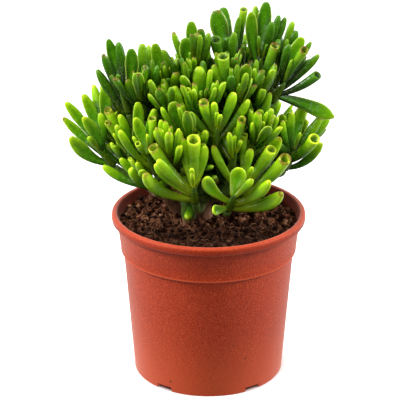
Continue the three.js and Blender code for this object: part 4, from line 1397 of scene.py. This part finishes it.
def modelLeaf(kind):
    # one unit long and, where its outline is full, one unit from its middle to its edge
    look = leafModel
    rings = look["rings"][kind]
    reach = float(outlineShare(kind, 0))
    piece = startNet(reach)
    for low, high in zip(rings, rings[1:]):
        wide = float(outlineShare(kind, high))
        pullRing(high - low, reach, wide, high)
        reach = wide
    endLeaf(kind, rings[-1], reach)
    piece = closeMesh(piece, f"{kind}Shape")
    points = places(piece.data)
    at = points[:, 2].copy()
    out = np.hypot(points[:, 0], points[:, 1])
    sideways = np.abs(points[:, 0]) / np.maximum(out, look["tiny"])
    edge = np.where(out > look["tiny"], sideways, 0)
    # inside a cup the mark runs on past 1, into the painted shade of its hollow
    inside = (out < outlineShare(kind, at) - 0.1) & (at > 0.8) & (kind in ("cup", "dimple"))
    markPoints(piece.data, "along", np.where(inside, 1.06 + (1 - at), at))
    # the edge mark: painted rim light along a flat leaf's edges and painted shade down its middle
    markPoints(piece.data, "edge", edge**4 if kind in ("spoon", "blade") else look["roundEdge"])
    # the upper face of a flat leaf sinks in towards its middle
    sink = look["hollow"][kind] * np.clip(np.sin(math.pi * np.clip((at - 0.2) / 0.8, 0, 1)), 0, 1)
    upper = points[:, 1] > 0.2 * out
    points[upper, 1] *= 1 - sink[upper] * (1 - sideways[upper]) * 1.6
    setPlaces(piece.data, points)
    return piece


def bendLeaf(shape, leaf, marks):
    # a copy of the shape takes the leaf's curve, length and width
    piece = copyOf(shape)
    points = places(piece.data)
    at = points[:, 2]
    held = np.clip(at, 0, 1)
    along, across, over = leafFrame(leaf, held)
    isCup = leaf["kind"] == "cup"
    half = leaf["width"] / 2 * leafModel["rounding"]
    wave = 1 + leafModel["wave"] * np.sin(2 * math.pi * (held * 1.4 + marks["phase"]))
    nearTip = np.clip((held - 0.6) / 0.4, 0, 1) ** 1.5
    narrow = 1 - leafModel["flare" if isCup else "pointing"] * marks["point"] * nearTip
    sideways = points[:, 0] * half * wave * narrow
    upward = points[:, 1] * half * leafKinds[leaf["kind"]][0] * wave * narrow
    placed = curveAt(leaf["curve"], held) + across * sideways[:, None] + over * upward[:, None]
    if isCup:
        slant = leafModel["rimTilt"] * np.clip((at - 0.7) / 0.3, 0, 1) ** 2
        placed -= along * (upward * slant)[:, None]
    setPlaces(piece.data, placed * mm)
    for name in ("tone", "young", "blush"):
        markPoints(piece.data, name, marks[name])
    return piece


def modelStem():
    piece = startNet(1.0)
    low, reach = 0.0, 1.0
    for high, wide in leafModel["stemRings"]:
        pullRing(high - low, reach, wide, high)
        low, reach = high, wide
    return closeMesh(piece, "stemShape")


def placeStem(shape, shoot):
    piece = copyOf(shape)
    points = places(piece.data)
    across, over, axis = shoot["across"], shoot["over"], shoot["axis"]
    radius = stem["radius"] * leafModel["rounding"]
    placed = shoot["foot"] + np.outer(points[:, 2] * shoot["length"], axis)
    placed += np.outer(points[:, 0] * radius, across) + np.outer(points[:, 1] * radius, over)
    markPoints(piece.data, "along", 0.25 + 0.35 * points[:, 2])
    for name, value in leafModel["stemMarks"].items():
        markPoints(piece.data, name, value)
    setPlaces(piece.data, placed * mm)
    return piece


def marksOf(shoot, leaf, draw):
    # painted light and shade: low leaves and those that stand at the front are painted lighter than high
    # ones, and the leaves along the twigs and on shoots without pairs darker; the rest of the tone differs
    # at random
    low = min(1.0, max(0.0, (185 - shoot["tip"][2]) / 50))
    front = shoot["tip"][1] < -20
    light = 0.65 * low + 0.4 * front - 0.1
    if "at" in leaf or not shoot["pairs"]:
        light = 0.0
    newest = min(1.0, max(0.0, 1 - leaf["rank"] * 2))
    return {
        "tone": max(0.0, light + 0.55 * draw()),
        # the newest leaves are yellower; low leaves at the front get more as painted light
        "young": newest * (0.15 + 0.4 * low) + 0.35 * low * front,
        "blush": 0.9 if draw() < 0.35 else 0.1,
        "phase": draw(),
        "point": draw() ** 2,
    }


def makeShoots():
    draw = makeDraw(leafModel["seed"])
    shapes = {kind: modelLeaf(kind) for kind in leafModel["rings"]}
    stemShape = modelStem()
    for number, shoot in enumerate(shoots):
        parts = [placeStem(stemShape, shoot)]
        for leaf in shoot["leaves"]:
            # only the large leaves have open cups
            isDimple = leaf["kind"] == "cup" and "azimuth" in leaf
            shape = shapes["dimple" if isDimple else leaf["kind"]]
            parts.append(bendLeaf(shape, leaf, marksOf(shoot, leaf, draw)))
        label = f"{number + 1:02d}"
        piece = joinAll(parts, f"leaves_{label}")
        finishWith(piece, "SUBSURF", levels=1, render_levels=1)
        smooth(piece)
        dress(piece, "green_leaf", leafSkin, *[f"shoot_{label}"] * (number < framedShoots))
    for shape in (*shapes.values(), stemShape):
        bpy.data.objects.remove(shape)


makeShoots()
print("leafy shoots made")


# the woody stems

wood = {
    "rootDepth": 30,
    "flare": 1.2,  # at the soil, to the stem's own radius
    "flareDepths": (8, 4, 0),
    "voxel": 0.8,
    "gnarl": 0.5,
    "gnarlSize": 5.0,
    # heights between which the bark turns green
    "greening": {"trunk_left": (98, 150), "trunk_centre": (100, 124)},
    # a cut green stem in front of the middle one
    "stub": [(-10.5, -8, 90), (-11.5, -9, 100), (-12.5, -10, 109), (-13, -10.5, 118)],
    "stubRadius": 4.6,
    "stubGreening": 10,
}


def drawLimb(curve, name):
    limb = limbs[name]
    if "from" in limb:
        first = limbs[limb["from"]]["radius"]
        shares = np.linspace(0, 1, 5)
        points = curveAt(limbCurve(name), shares) * mm
        radii = first + (limb["radius"] - first) * shares
    else:
        top = limbEnd(name)
        points = [(top - up * depth) * mm for depth in (wood["rootDepth"], *wood["flareDepths"])]
        radii = [limb["radius"] * grow for grow in (1, 1, wood["flare"], 1)]
    drawStrand(curve, points, radii)


def makeTrunk(trunk):
    piece = startStrands(trunk.replace("trunk", "wood"), 8, 8)
    for name in limbs:
        if trunkOf(name) == trunk:
            drawLimb(piece.data, name)
    shares = np.linspace(0, 1, 5)
    for shoot in shoots:
        if trunkOf(shoot["limb"]) == trunk:
            radii = twig["start"] + (twig["end"] - twig["start"]) * shares
            drawStrand(piece.data, curveAt(twigCurve(shoot), shares) * mm, radii)
    stub = np.array(wood["stub"]) * mm
    hasStub = trunk == "trunk_centre"
    if hasStub:
        drawStrand(piece.data, stub, [wood["stubRadius"]] * len(stub))
    piece = toMesh(piece)
    finishWith(piece, "REMESH", mode="VOXEL", voxel_size=wood["voxel"] * mm)
    finishWith(piece, "SMOOTH", factor=0.5, iterations=3)
    mesh = piece.data
    points = places(mesh)
    normals = np.array([vertex.normal for vertex in mesh.vertices])
    lumps = np.array([noise.noise(Vector(point) / (wood["gnarlSize"] * mm)) for point in points])
    setPlaces(mesh, points + normals * (lumps * wood["gnarl"] * mm)[:, None])
    height = points[:, 2] / mm
    low, high = wood["greening"][trunk]
    green = np.clip((height - low) / (high - low), 0, 1)
    if hasStub:
        beside = np.linalg.norm(points[:, None, :2] - stub[None, :, :2], axis=2).min(axis=1)
        rising = np.clip((height - soil["edge"]) / wood["stubGreening"], 0, 0.75)
        green = np.maximum(green, rising * (beside < 1.2 * wood["stubRadius"] * mm))
    markPoints(mesh, "green", green)
    smooth(piece)
    dress(piece, "woody_stem", bark, trunk)


for trunk in ("trunk_left", "trunk_centre"):
    makeTrunk(trunk)
print("woody stems made")


# floor, light and camera

stage = {
    "floorSize": 6.0,
    "floor": (0.92, 0.92, 0.92),
    # the painted shadow under the pot
    "paintedPotShadow": (0.03, 0.02, 0.015),
    # how bright the sky is to the left and right, at the front and back, below and above
    "sky": [(1.0, 1.0), (0.0, 1.6), (0.8, 0.2)],
    "floorGlow": 0.6,
    "glowEdge": (0.9, 1.35),  # where the floor starts to glow and where it does fully, to the pot's foot; under the pot it doesn't glow, as a painted shadow
    "paintedShadowEdge": (0.9, 1.04),  # and where the painted shadow under the pot turns from dark to pale
    "lampSize": 0.35,
    "lampTarget": (0, 0, 0.11),
    # place and power in watts
    "lamps": {
        "lampTopLeft": ((-0.85, -0.2, 0.8), 12.0),
        "lampTopRight": ((0.9, -0.1, 0.7), 10.0),
        "lampTop": ((-0.15, -0.3, 1.2), 4.0),
        "lampFront": ((-0.3, -0.8, 0.9), 2.7),
    },
    "cameraPlace": (-0.0053, -1.01630, 0.53305),
    "cameraTilt": 67.5,
    "lens": 160.2,
}


def makeSky():
    world = bpy.data.worlds.new("sky")
    world.use_nodes = True
    tree = world.node_tree
    where = addNode(tree, "ShaderNodeTexCoord").outputs["Generated"]
    light = 0.0
    for axis, (low, high) in enumerate(stage["sky"]):
        way = partOf(tree, where, axis)
        amount = sums(tree, "ADD", low, times(tree, sums(tree, "GREATER_THAN", way), high - low))
        light = sums(tree, "ADD", light, times(tree, times(tree, way, way), amount))
    tree.links.new(light, tree.nodes["Background"].inputs["Strength"])
    tree.nodes["Background"].inputs["Color"].default_value = (1, 1, 1, 1)
    bpy.context.scene.world = world


def makeFloor():
    deselectAll()
    bpy.ops.mesh.primitive_plane_add(size=stage["floorSize"])
    floor = bpy.context.active_object
    floor.name = "floor"
    material, tree, shader = startMaterial(
        "floorPaper", 0.9, Specular_IOR_Level=0.1, Emission_Color=(1, 1, 1, 1)
    )
    out = addNode(tree, "ShaderNodeVectorMath", {"operation": "LENGTH"}, Vector=objectPlaces(tree))
    foot = pot["footRadius"] * mm
    # painted shadow: under the pot's foot the floor is dark and doesn't glow
    glow, paper = (
        share(tree, out.outputs["Value"], *(edge * foot for edge in stage[name]))
        for name in ("glowEdge", "paintedShadowEdge")
    )
    tree.links.new(times(tree, glow, stage["floorGlow"]), shader.inputs["Emission Strength"])
    setColour(tree, shader, mixColours(tree, paper, stage["paintedPotShadow"], stage["floor"]))
    floor.data.materials.append(material)
    floor.visible_diffuse = False
    floor.visible_glossy = False


def addToScene(name, data, place):
    thing = bpy.data.objects.new(name, data)
    thing.location = place
    bpy.context.collection.objects.link(thing)
    return thing


def makeLamps():
    for name, (place, power) in stage["lamps"].items():
        light = bpy.data.lights.new(name, "AREA")
        light.shape = "DISK"
        light.size = stage["lampSize"]
        light.energy = power
        towards = Vector(stage["lampTarget"]) - Vector(place)
        addToScene(name, light, place).rotation_euler = towards.to_track_quat("-Z", "Y").to_euler()


def makeCamera():
    lens = bpy.data.cameras.new("camera")
    lens.lens = stage["lens"]
    camera = addToScene("camera", lens, stage["cameraPlace"])
    camera.rotation_euler = (math.radians(stage["cameraTilt"]), 0, 0)
    bpy.context.scene.camera = camera
    bpy.context.scene.view_settings.view_transform = "Standard"


makeSky()
makeFloor()
makeLamps()
makeCamera()
print("stage set")
